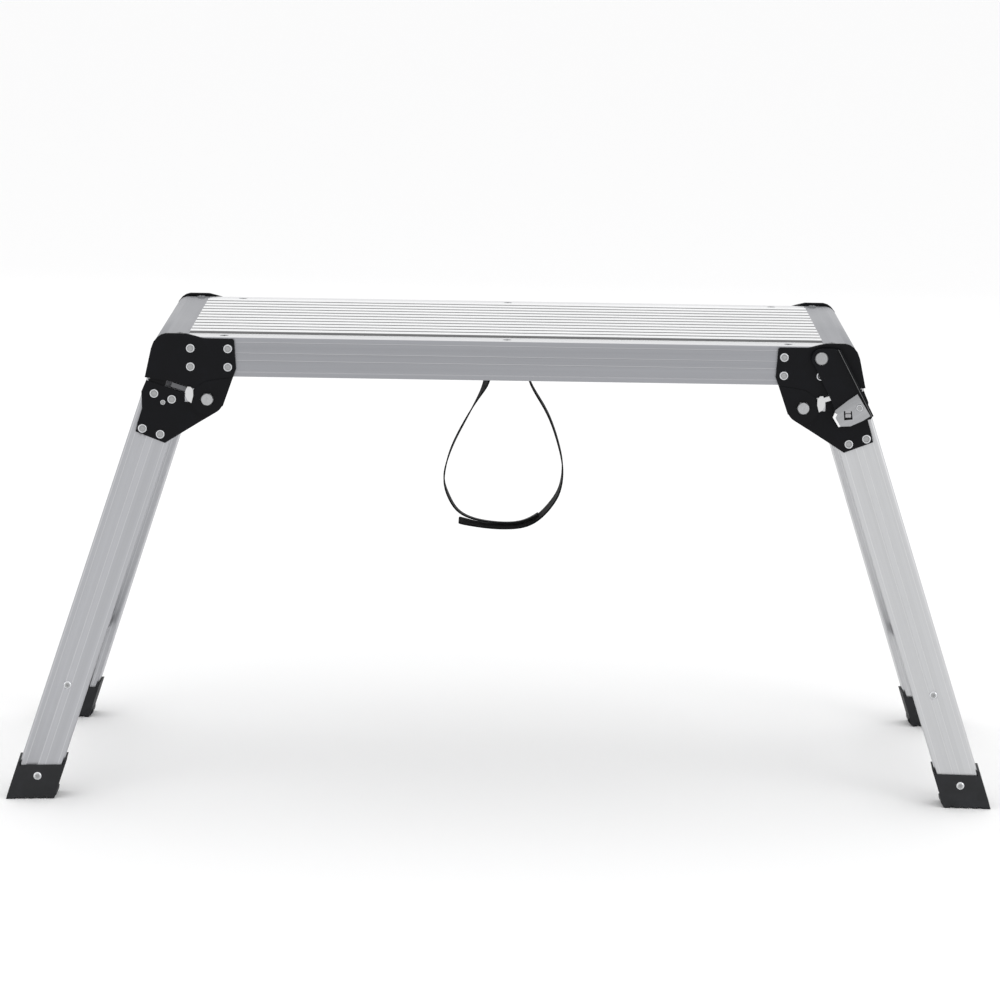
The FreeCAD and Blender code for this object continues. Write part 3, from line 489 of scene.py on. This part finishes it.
@dataclass(frozen=True)
class StudioPaper:
    """Plain pale paper for the floor."""

    name: str
    colour: Triple

    def material(self) -> bpy.types.Material:
        """Builds the node material."""
        board = NodeBoard(self.name)
        fibre = board.noise(board.plain(), 90.0, 3.0)
        board.tint(fibre, shade(self.colour, 0.995), self.colour)
        board.set(Roughness=0.9, Specular_IOR_Level=0.1)
        return board.material


# ---- shared shaping --------------------------------------------------------
@dataclass
class Workshop:
    """Finishes by name, and the small jobs every sub-assembly needs."""

    nodes: dict[str, bpy.types.Object]
    finishes: dict[str, bpy.types.Material] = field(default_factory=dict)

    def finish(self, kind: object) -> bpy.types.Material:
        """The material of a finish, built the first time it is asked for.

        Args:
            kind: A finish dataclass.

        Returns:
            The material.
        """
        if kind.name not in self.finishes:
            self.finishes[kind.name] = kind.material()
        return self.finishes[kind.name]

    def dress(self, node: str, kind: object, ease: float = 0.0, facet: float = 32.0) -> None:
        """Gives a CAD node its finish and, if asked, softly rounded edges.

        Args:
            node: The node's name.
            kind: A finish dataclass.
            ease: Radius of the edges in metres, or 0 for none.
            facet: Edges sharper than this many degrees are rounded.
        """
        piece = self.nodes[node]
        paint(piece, self.finish(kind))
        if ease:
            ease_edges(piece, ease, facet)
        LOG.info("dressed %s in %s", node, kind.name)

    def add(self, name: str, bm: bmesh.types.BMesh, body: str, kind: object, slot: Slot,
            stands_for: tuple[str, ...]) -> bpy.types.Object:
        """Makes a bmesh a piece of the bench.

        Args:
            name: The piece's name.
            bm: Its shape, freed afterwards.
            body: The CAD body it rides on.
            kind: Its finish.
            slot: The record's material slot; not used.
            stands_for: CAD nodes it replaces.

        Returns:
            The new object.
        """
        mesh = bpy.data.meshes.new(name)
        bm.to_mesh(mesh)
        bm.free()
        for polygon in mesh.polygons:
            polygon.use_smooth = True
        piece = bpy.data.objects.new(name, mesh)
        bpy.context.scene.collection.objects.link(piece)
        mesh.materials.append(self.finish(kind))
        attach(piece, body)
        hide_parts(*stands_for)
        LOG.info("built %s with %d faces", name, len(mesh.polygons))
        return piece


FLAT_WITHIN = math.radians(0.6)
EASE_STEPS = 2           # faces across a rounded edge


def paint(piece: bpy.types.Object, material: bpy.types.Material) -> None:
    """Puts one material in every slot of a piece."""
    if not piece.material_slots:
        piece.data.materials.append(material)
    for slot in piece.material_slots:
        slot.material = material


def ease_edges(piece: bpy.types.Object, radius: float, facet: float) -> None:
    """Merges a CAD mesh's loose triangles and rounds its sharp edges.

    Args:
        piece: The object.
        radius: Edge radius in metres.
        facet: Edges sharper than this many degrees are rounded.
    """
    weld = piece.modifiers.new("Weld", "WELD")
    weld.merge_threshold = WELD
    flat = piece.modifiers.new("Flat", "DECIMATE")
    flat.decimate_type = "DISSOLVE"
    flat.angle_limit = FLAT_WITHIN
    bevel = piece.modifiers.new("Ease", "BEVEL")
    bevel.width = radius
    bevel.segments = EASE_STEPS
    bevel.limit_method = "ANGLE"
    bevel.angle_limit = math.radians(facet)
    bevel.miter_outer = "MITER_ARC"
    bevel.use_clamp_overlap = True
    bevel.harden_normals = False


def span(piece: bpy.types.Object, across: Vector) -> tuple[float, float]:
    """Lowest and highest place of a piece along a direction.

    Args:
        piece: The object.
        across: Unit direction to measure along.

    Returns:
        The two places, in metres from the origin.
    """
    reach = [vertex.co.dot(across) for vertex in piece.data.vertices]
    return min(reach), max(reach)


def sectioned(finish: MillAluminium, piece: bpy.types.Object, across: Vector,
              lines: tuple[float, ...]) -> MillAluminium:
    """The finish with painted highlight lines laid across one extrusion.

    Args:
        finish: The plain finish.
        piece: The extrusion it goes on.
        across: Unit direction across the extrusion.
        lines: The lines' places, as shares of its width.

    Returns:
        The finish with its section.
    """
    low, high = span(piece, across)
    return replace(finish, section=Section(tuple(across), low, high - low, lines))


@dataclass(frozen=True)
class Head:
    """One fastener as it stands on a CAD piece: where it sits and its sizes."""

    seat: Vector
    axis: Vector
    radius: float
    height: float
    depth: float


def islands(bm: bmesh.types.BMesh) -> list[set[bmesh.types.BMVert]]:
    """Splits a mesh into its separate shells."""
    left, shells = set(bm.verts), []
    while left:
        shell, front = set(), [left.pop()]
        while front:
            vert = front.pop()
            shell.add(vert)
            for edge in vert.link_edges:
                other = edge.other_vert(vert)
                if other in left:
                    left.discard(other)
                    front.append(other)
        shells.append(shell)
    return shells


def heads_on(piece: bpy.types.Object, flat: float = 0.95, skin: float = 0.00035,
             edge: float = 0.97) -> list[Head]:
    """Finds every fastener head that faces out of the front or rear of a CAD piece.

    Args:
        piece: A CAD node that holds a group of fasteners.
        flat: How squarely a face must look outwards to count as the crown.
        skin: How far below the crown its dished middle may lie.
        edge: Share of the radius from which a corner belongs to the rim.

    Returns:
        The heads, in the order their shells are met.
    """
    bm = bmesh.new()
    bm.from_mesh(piece.data)
    bmesh.ops.remove_doubles(bm, verts=bm.verts, dist=WELD)
    found = []
    for shell in islands(bm):
        middle = sum((vert.co for vert in shell), Vector()) / len(shell)
        out = Vector((0.0, math.copysign(1.0, middle.y), 0.0))
        faces = {face for vert in shell for face in vert.link_faces if face.normal.dot(out) > flat}
        axis = max(faces, key=lambda face: face.calc_area()).normal.copy()
        top = max(face.calc_center_median().dot(axis) for face in faces)
        cap = [face for face in faces if top - face.calc_center_median().dot(axis) < skin]
        rim = {vert.co.copy().freeze() for face in cap for vert in face.verts}
        centre = sum(rim, Vector()) / len(rim)
        far = {vert: (vert.co - centre - axis * (vert.co - centre).dot(axis)).length for vert in shell}
        radius = max(far.values())
        crown = max(vert.co.dot(axis) for vert in shell)
        seat = min(vert.co.dot(axis) for vert in shell if far[vert] > edge * radius)
        foot = min(vert.co.dot(axis) for vert in shell)
        found.append(Head(centre + axis * (seat - centre.dot(axis)), axis, radius, crown - seat, seat - foot))
    bm.free()
    return found


CENTRE_SHARE = 0.68      # a head's pressed middle, as a share of its radius
SHANK_SHARE = 0.5        # its shank, likewise
RIVET_EDGE = 0.00012     # radius of a turned rivet's edges
HEAD_STEPS = 28          # faces round a head
SOLID_RIVET: Profile = ((0.0, 0.60), (0.50, 0.62), (0.60, 0.92), (0.72, 1.0), (0.86, 0.90), (0.96, 0.55),
                        (1.0, 0.25), (1.0, 0.0))
FLAT_HEAD: Profile = ((0.0, 1.0), (0.80, 1.0), (0.93, 0.86), (1.0, 0.60), (1.0, 0.0))
BLIND_RIVET: Profile = ((0.0, 0.15), (0.22, 0.15), (0.24, 0.85), (0.34, 1.0), (0.62, 0.93), (0.84, 0.66),
                        (0.97, 0.30), (1.0, 0.0))


def turned(bm: bmesh.types.BMesh, head: Head, profile: Profile) -> None:
    """Spins one fastener's profile round its axis.

    Args:
        bm: The mesh to add to.
        head: Where it stands and its sizes.
        profile: Points from the crown outwards, as shares of radius and height.
    """
    side = head.axis.orthogonal().normalized()
    verts = [bm.verts.new(head.seat + side * (out * head.radius) + head.axis * (up * head.height))
             for out, up in profile]
    shank = [bm.verts.new(head.seat + side * (SHANK_SHARE * head.radius) - head.axis * down)
             for down in (0.0, head.depth)]
    line = verts + shank
    edges = [bm.edges.new(pair) for pair in zip(line, line[1:])]
    bmesh.ops.spin(bm, geom=line + edges, cent=head.seat, axis=head.axis, angle=math.tau,
                   steps=HEAD_STEPS, use_merge=True)


def rivets(shop: Workshop, node: str, body: str, profile: Profile, kind: object, centre: object,
           grow: float = 1.0) -> None:
    """Replaces a CAD group of rivets by turned ones.

    Args:
        shop: The workshop.
        node: The CAD node.
        body: The body it rides on.
        profile: The head's profile.
        kind: The finish of its rim.
        centre: The finish of its pressed middle.
        grow: Factor on the head's radius.
    """
    bm = bmesh.new()
    heads = [replace(head, radius=head.radius * grow) for head in heads_on(shop.nodes[node])]
    for head in heads:
        turned(bm, head, profile)
    bmesh.ops.remove_doubles(bm, verts=bm.verts, dist=0.00001)
    bmesh.ops.recalc_face_normals(bm, faces=bm.faces)
    # Faces outside the pressed middle take the rim finish, which on most heads is a lighter zinc: a painted
    # highlight on the rim.
    for face in bm.faces:
        middle = face.calc_center_median()
        near = min(heads, key=lambda head: (head.seat - middle).length)
        off = middle - near.seat
        inside = (off - near.axis * off.dot(near.axis)).length < CENTRE_SHARE * near.radius
        face.material_index = int(inside)
    piece = shop.add(f"{node}_turned", bm, body, kind, Slot.FASTENER, (node,))
    piece.data.materials.append(shop.finish(centre))
    soft = piece.modifiers.new("Soft", "BEVEL")
    soft.width = RIVET_EDGE
    soft.segments = 2
    soft.limit_method = "ANGLE"
    soft.angle_limit = math.radians(25.0)


# ---- studio ----------------------------------------------------------------
@dataclass(frozen=True)
class Softbox:
    """A rectangular lamp: its middle, the point it faces, its size and its power in watts."""

    name: str
    place: Triple
    aim: Triple
    size: tuple[float, float]
    watts: float


@dataclass
class Studio:
    """Floor, soft lights and the viewing camera."""

    eye: Triple = (0.005685, -4.03276, 1.12611)
    yaw: float = -0.0414305
    pitch: float = -0.2160562
    roll: float = -0.0222913
    lens: float = 130.415
    shift: tuple[float, float] = (-0.15616, 0.05541)
    floor_size: float = 60.0
    floor_drop: float = 0.0004
    sky: float = 1.0
    SOFTBOXES: ClassVar[tuple[Softbox, ...]] = (
        Softbox("Overhead", (0.0, 0.3, 2.6), (0.0, 0.0, 0.3), (3.4, 2.6), 8.0),
        Softbox("Back", (0.2, 3.4, 1.5), (0.0, 0.0, 0.35), (4.4, 1.6), 5.0),
        Softbox("RightFront", (3.0, -2.4, 1.9), (0.0, 0.0, 0.3), (1.8, 1.8), 16.0),
        Softbox("LeftFront", (-3.2, -2.6, 1.6), (0.0, 0.0, 0.3), (1.8, 1.8), 6.0))

    def build(self, shop: Workshop) -> None:
        """Builds everything round the bench."""
        self._floor(shop)
        self._camera()
        self._sky()
        for box in self.SOFTBOXES:
            self._hang(box)
        bpy.context.scene.view_settings.view_transform = "Standard"

    def _floor(self, shop: Workshop) -> None:
        """Lays the pale floor just under the boots."""
        bm = bmesh.new()
        bmesh.ops.create_grid(bm, x_segments=8, y_segments=8, size=self.floor_size / 2,
                              matrix=Matrix.Translation((0.0, 0.0, -self.floor_drop)))
        mesh = bpy.data.meshes.new("Floor")
        bm.to_mesh(mesh)
        bm.free()
        floor = bpy.data.objects.new("Floor", mesh)
        bpy.context.scene.collection.objects.link(floor)
        mesh.materials.append(shop.finish(StudioPaper("Paper", (0.97, 0.97, 0.972))))

    def _camera(self) -> None:
        """Places the camera."""
        data = bpy.data.cameras.new("View")
        data.sensor_width = 36.0
        data.lens = self.lens
        data.shift_x, data.shift_y = self.shift
        data.clip_end = 100.0
        camera = bpy.data.objects.new("View", data)
        bpy.context.scene.collection.objects.link(camera)
        turn = (Matrix.Rotation(self.yaw, 4, "Z") @ Matrix.Rotation(self.pitch, 4, "X")
                @ Matrix.Rotation(self.roll, 4, "Y"))
        camera.matrix_world = (Matrix.Translation(self.eye) @ turn
                               @ Matrix.Rotation(math.radians(90.0), 4, "X"))
        bpy.context.scene.camera = camera

    def _sky(self) -> None:
        """Sets an even, near-white surround."""
        world = bpy.data.worlds.new("Surround")
        world.use_nodes = True
        background = world.node_tree.nodes["Background"]
        background.inputs["Color"].default_value = (1.0, 1.0, 1.0, 1.0)
        background.inputs["Strength"].default_value = self.sky
        bpy.context.scene.world = world

    def _hang(self, box: Softbox) -> None:
        """Hangs one softbox."""
        data = bpy.data.lights.new(box.name, "AREA")
        data.shape = "RECTANGLE"
        data.size, data.size_y = box.size
        data.energy = box.watts
        light = bpy.data.objects.new(box.name, data)
        bpy.context.scene.collection.objects.link(light)
        away = Vector(box.place) - Vector(box.aim)
        turn = away.to_track_quat("Z", "Y").to_matrix().to_4x4()
        light.matrix_world = Matrix.Translation(box.place) @ turn


# ---- the bench -------------------------------------------------------------
BLACK = PowderCoat("Black_powder_coat")
# Screws and small rivets painted darker than zinc: painted shade of their sunk seats and gaps.
SHADED_SCREW = ZincPlate("Screw_painted_shade", (0.20, 0.205, 0.215), 0.45)
ZINC = ZincPlate("Zinc_fastener", (0.46, 0.465, 0.475), 0.3)
# Lighter than the zinc of the pressed middles: a painted highlight on rivet rims.
RIM_HIGHLIGHT = ZincPlate("Zinc_rim_painted_highlight", (0.70, 0.71, 0.73), 0.2)
PRESSED = ZincPlate("Zinc_pressed", (0.40, 0.405, 0.41), 0.4, 700.0)
# Zinc made dark as painted shade: the bar's arm lies in shadow inside the frame.
BAR = MillAluminium("Lock_bar_zinc", (0.13, 0.132, 0.138), (0.0, 1.0, 0.0), 0.3)
LATCH = MillAluminium("Latch_zinc", (0.36, 0.365, 0.375), (0.85, 0.0, 0.53), 0.26, 0.0016, 0.16)
SPRING = ZincPlate("Spring_steel", (0.42, 0.42, 0.43), 0.16, 500.0)
RUBBER = MouldedBlack("Boot_rubber", (0.009, 0.0095, 0.011), 0.62, 1.0)
NYLON = MouldedBlack("Stop_nylon", (0.012, 0.012, 0.013), 0.5)
WEBBING = WovenWebbing("Strap_webbing")
PLATE_RIVET_GROW = 0.96  # the turned head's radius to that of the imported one


@dataclass
class Platform:
    """Deck, rails, end rails, supports and corner plates."""

    body: str = "platform"
    # The rail and deck are lit and shaded copies of one mill aluminium: the rails' front faces are painted
    # darker as shade, the deck's upward faces lighter as painted light.
    rail: MillAluminium = MillAluminium("Rail_aluminium", (0.335, 0.34, 0.36), (1.0, 0.0, 0.0), 0.42,
                                        painted_light_above=0.5072)
    end: MillAluminium = MillAluminium("End_rail_aluminium", (0.285, 0.29, 0.308), (0.0, 1.0, 0.0), 0.46)
    deck: RibbedDeck = RibbedDeck("Deck_aluminium", (0.76, 0.763, 0.772), (1.0, 0.0, 0.0), 0.36,
                                  contrast=0.03)
    frame: MillAluminium = MillAluminium("Support_aluminium", (0.42, 0.42, 0.43), (0.0, 1.0, 0.0), 0.45)
    # Places of the painted highlight lines across the rails.
    RAIL_LINES: ClassVar[tuple[float, ...]] = (0.12, 0.41, 0.60, 0.87)

    def build(self, shop: Workshop) -> None:
        """Dresses every piece of the platform."""
        for row in Row:
            name = f"{row.word}_side_rail"
            finish = sectioned(self.rail, shop.nodes[name], UP, self.RAIL_LINES)
            shop.dress(name, finish, 0.0003)
        for side in Side:
            shop.dress(f"{side.word}_end_rail", self.end, 0.0003)
        for plank in ("front", "middle", "rear"):
            shop.dress(f"deck_plank_{plank}", self.deck, 0.0002)
        for support in ("left", "centre", "right"):
            shop.dress(f"cross_support_{support}", self.frame)
        shop.dress("spacer_blocks", self.frame)
        for fastener in ("flange_screws", "deck_rivets", "end_rail_screws"):
            shop.dress(fastener, SHADED_SCREW, 0.0002)
        for fastener in ("pivot_bolts", "pivot_nuts", "strap_anchor"):
            shop.dress(fastener, ZINC, 0.0002)
        rivets(shop, "hinge_plate_rivets", self.body, SOLID_RIVET, RIM_HIGHLIGHT, PRESSED, PLATE_RIVET_GROW)
        rivets(shop, "lever_pins", self.body, FLAT_HEAD, PRESSED, PRESSED)
        for row in Row:
            for side in Side:
                shop.dress(f"hinge_plate_{row.word}_{side.word}", BLACK, 0.0006)
        shop.dress("stop_blocks", NYLON, 0.0005)


@dataclass
class LegFrame:
    """Two splayed legs with their plates, bars, boots and rivets."""

    side: Side
    splay: float = 18.2
    flare: float = 5.9
    fold_slope: float = 49.0
    # Left and right legs share one aluminium: the right legs' lighter colour is painted light from the right,
    # the left legs' darker one painted shade.
    LIT_AND_SHADED_COLOURS: ClassVar[dict[Side, Triple]] = {Side.LEFT: (0.45, 0.455, 0.475),
                                             Side.RIGHT: (0.55, 0.555, 0.565)}
    # Places of the painted highlight lines across the legs.
    LEG_LINES: ClassVar[tuple[float, ...]] = (0.12, 0.41, 0.565, 0.855, 0.965)

    @property
    def body(self) -> str:
        """The CAD body of this leg frame."""
        return f"{self.side.word}_leg_frame"

    def line(self, row: Row) -> Vector:
        """Unit vector down one leg.

        Args:
            row: Which of the two legs.

        Returns:
            The direction.
        """
        splay = math.radians(self.splay)
        return self._flared(Vector((math.sin(splay), 0.0, -math.cos(splay))), row)

    def face(self, row: Row) -> Vector:
        """Unit vector out of one leg's outer face.

        Args:
            row: Which of the two legs.

        Returns:
            The direction.
        """
        return self._flared(REARWARD.copy(), row)

    def _flared(self, straight: Vector, row: Row) -> Vector:
        """Turns a direction with the leg about its plate's crease, onto this side and row."""
        slope = math.radians(self.fold_slope)
        straight.rotate(Quaternion((math.cos(slope), 0.0, math.sin(slope)), math.radians(self.flare)))
        return Vector((straight.x * self.side.value, straight.y * row.value, straight.z))

    def build(self, shop: Workshop) -> None:
        """Dresses and builds the whole leg frame."""
        word = self.side.word
        for row in Row:
            line = self.line(row)
            leg = shop.nodes[f"leg_{row.word}_{word}"]
            across = line.cross(self.face(row)).normalized() * self.side.value * -row.value
            finish = MillAluminium(f"Leg_aluminium_{row.word}_{word}", self.LIT_AND_SHADED_COLOURS[self.side],
                                   tuple(line), 0.43)
            shop.dress(leg.name, sectioned(finish, leg, -across, self.LEG_LINES), 0.0003)
            shop.dress(f"leg_plate_{row.word}_{word}", BLACK, 0.0006)
            shop.dress(f"foot_{row.word}_{word}", RUBBER, 0.0003, 40.0)
        bar = MillAluminium("Cross_bar_aluminium", (0.5, 0.505, 0.52), (0.0, 1.0, 0.0), 0.42)
        shop.dress(f"upper_cross_bar_{word}", bar, 0.0003)
        shop.dress(f"lower_cross_bar_{word}", bar, 0.0003)
        rivets(shop, f"leg_plate_rivets_{word}", self.body, SOLID_RIVET, RIM_HIGHLIGHT, PRESSED, PLATE_RIVET_GROW)
        rivets(shop, f"leg_rivets_{word}", self.body, BLIND_RIVET, RIM_HIGHLIGHT, PRESSED)


@dataclass
class CornerLock:
    """Lock lever, bar, latch and spring tab of one end.

    The painted highlight on the lever's crease lies `fold_inset` inside its edge, square to
    `fold_lean`.  Section places are shares: the bar's painted-light tongues lie
    `tongue_margin` inside its ends and the latch's painted highlight lip at `lip_place`.
    """

    side: Side
    fold_lean: float = math.radians(28.1)
    fold_inset: float = 0.0022
    tongue_margin: float = 0.02
    lip_place: float = 0.9

    def build(self, shop: Workshop) -> None:
        """Dresses the lock's pieces."""
        word = self.side.word
        lever = shop.nodes[f"lock_lever_{word}"]
        across = Vector((math.cos(self.fold_lean) * self.side.value, 0.0, math.sin(self.fold_lean)))
        low, high = span(lever, across)
        # Painted highlight along the lever's crease.
        wear_and_crease_highlight = Section(tuple(across), low, high - low, (1.0 - self.fold_inset / (high - low),),
                       half_line=0.011, lift=0.22)
        shop.dress(lever.name, replace(BLACK, name=f"{BLACK.name}_{word}", fold=wear_and_crease_highlight), 0.0005)
        bar = shop.nodes[f"lock_bar_{word}"]
        low, high = span(bar, REARWARD)
        margin = self.tongue_margin * (high - low)
        # Painted light on the bar's tongues, which stand out into the light beyond the plates.
        tongues = Section(tuple(REARWARD), low - margin, high - low + 2 * margin,
                          (self.tongue_margin, 1.0 - self.tongue_margin), half_line=0.014, lift=0.62)
        shop.dress(bar.name, replace(BAR, name=f"{BAR.name}_{word}", section=tongues), 0.0004)
        self._latch(shop)
        rivets(shop, f"latch_pin_{word}", f"{word}_lock", SOLID_RIVET, RIM_HIGHLIGHT, PRESSED)
        shop.dress(f"latch_spring_{word}", SPRING, 0.0001)

    def _latch(self, shop: Workshop) -> None:
        """Finishes the latch: brushed plate, with a painted highlight on its outer lip."""
        latch = shop.nodes[f"latch_{self.side.word}"]
        out = Vector((0.0, math.copysign(1.0, latch.bound_box[0][1]), 0.0))
        low, high = span(latch, out)
        # Painted highlight on the lip.
        lip = Section(tuple(out), low, (high - low) / self.lip_place, (self.lip_place,),
                      half_line=0.3, lift=0.85)
        shop.dress(latch.name, replace(LATCH, name=f"{LATCH.name}_{self.side.word}", section=lip), 0.0003)


@dataclass
class CarryStrap:
    """Webbing loop under the deck, closed by an overlap at the bottom.

    Each route lists places along the band as X and Z in millimetres, and the
    band's twist there in degrees.
    """

    body: str = "platform"
    width: float = 0.028
    thickness: float = 0.0016
    rows_across: int = 6
    hung_from: float = 0.465
    crumpled: float = 0.04
    HOOK_SIDE: ClassVar[tuple[Triple, ...]] = (
        (-20.5, 465.0, -16.0), (-21.2, 438.0, -13.0), (-30.8, 422.0, 1.0), (-45.7, 395.0, 5.0),
        (-59.3, 368.5, 5.0), (-65.5, 350.5, 3.0), (-69.8, 333.0, 0.0), (-69.6, 320.0, 2.0),
        (-64.5, 306.0, 5.0), (-57.0, 292.0, 3.0), (-45.7, 283.0, 2.0), (-25.3, 277.2, 0.0),
        (8.2, 274.9, 0.0), (26.1, 279.8, 0.0), (37.8, 287.4, 2.0))
    LOOP_SIDE: ClassVar[tuple[Triple, ...]] = (
        (20.5, 465.0, 0.0), (23.8, 438.0, -2.0), (43.8, 410.5, -1.0), (54.9, 384.0, 0.0),
        (63.1, 355.0, 0.0), (65.3, 337.5, 0.0), (62.6, 315.0, -1.0), (53.1, 299.0, -2.0),
        (40.6, 284.6, -2.0), (28.5, 276.2, -1.0), (14.2, 271.9, 0.0), (-10.9, 271.3, 0.0),
        (-33.6, 274.0, 0.0), (-52.5, 278.4, -5.0))

    def build(self, shop: Workshop) -> None:
        """Builds the loop."""
        for name, route in (("strap_hook_side", self.HOOK_SIDE), ("strap_loop_side", self.LOOP_SIDE)):
            path = [Vector((x, 0.0, z)) * MM for x, z, _ in route]
            band = self._band(path, [math.radians(twist) for _, _, twist in route])
            strap = shop.add(name, band, self.body, WEBBING, Slot.WEBBING, ("strap",))
            thicken(strap, self.thickness)
            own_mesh(strap)

    def _band(self, path: list[Vector], twists: list[float]) -> bmesh.types.BMesh:
        """Pulls an edge across the strap along its path.

        Args:
            path: Middle of the band, from end to end.
            twists: How far the band is turned about its path at each point.

        Returns:
            The band, one face thick, with its weave chart.
        """
        bm = bmesh.new()
        chart = bm.loops.layers.uv.new("Weave")
        across = [bm.verts.new(path[0] + Vector((0.0, self.width * (i / self.rows_across - 0.5), 0.0)))
                  for i in range(self.rows_across + 1)]
        edges = [bm.edges.new(pair) for pair in zip(across, across[1:])]
        bmesh.ops.rotate(bm, verts=across, cent=path[0],
                         matrix=Matrix.Rotation(twists[0], 3, (path[1] - path[0]).normalized()))
        run = {vert: 0.0 for vert in across}
        travelled = 0.0
        for start, end, before, after in zip(path, path[1:], twists, twists[1:]):
            made = bmesh.ops.extrude_edge_only(bm, edges=edges)["geom"]
            verts = [item for item in made if isinstance(item, bmesh.types.BMVert)]
            edges = [item for item in made if isinstance(item, bmesh.types.BMEdge)
                     and all(vert in verts for vert in item.verts)]
            bmesh.ops.translate(bm, verts=verts, vec=end - start)
            turn = Matrix.Rotation(after - before, 3, (end - start).normalized())
            bmesh.ops.rotate(bm, verts=verts, cent=end, matrix=turn)
            travelled += (end - start).length
            run.update({vert: travelled for vert in verts})
        for face in bm.faces:
            for loop in face.loops:
                loop[chart].uv = (run[loop.vert], loop.vert.co.y)
        bmesh.ops.recalc_face_normals(bm, faces=bm.faces)
        return bm


BAND_LEVELS = 2          # rounds of smoothing


def thicken(piece: bpy.types.Object, thickness: float) -> None:
    """Smooths a band and gives it its thickness.

    Args:
        piece: The band.
        thickness: Its thickness in metres.
    """
    smooth = piece.modifiers.new("Smooth", "SUBSURF")
    smooth.levels = smooth.render_levels = BAND_LEVELS
    wall = piece.modifiers.new("Wall", "SOLIDIFY")
    wall.thickness = thickness
    wall.offset = 0.0
    wall.use_even_offset = True


def main() -> None:
    """Loads the frame and builds the bench and its studio in order."""
    logging.basicConfig(level=logging.INFO, format="%(name)s: %(message)s")
    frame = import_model()
    shop = Workshop(frame["nodes"])
    Studio().build(shop)
    Platform().build(shop)
    for side in Side:
        LegFrame(side).build(shop)
        CornerLock(side).build(shop)
    CarryStrap().build(shop)
    bpy.context.view_layer.update()


if __name__ == "__main__":
    main()
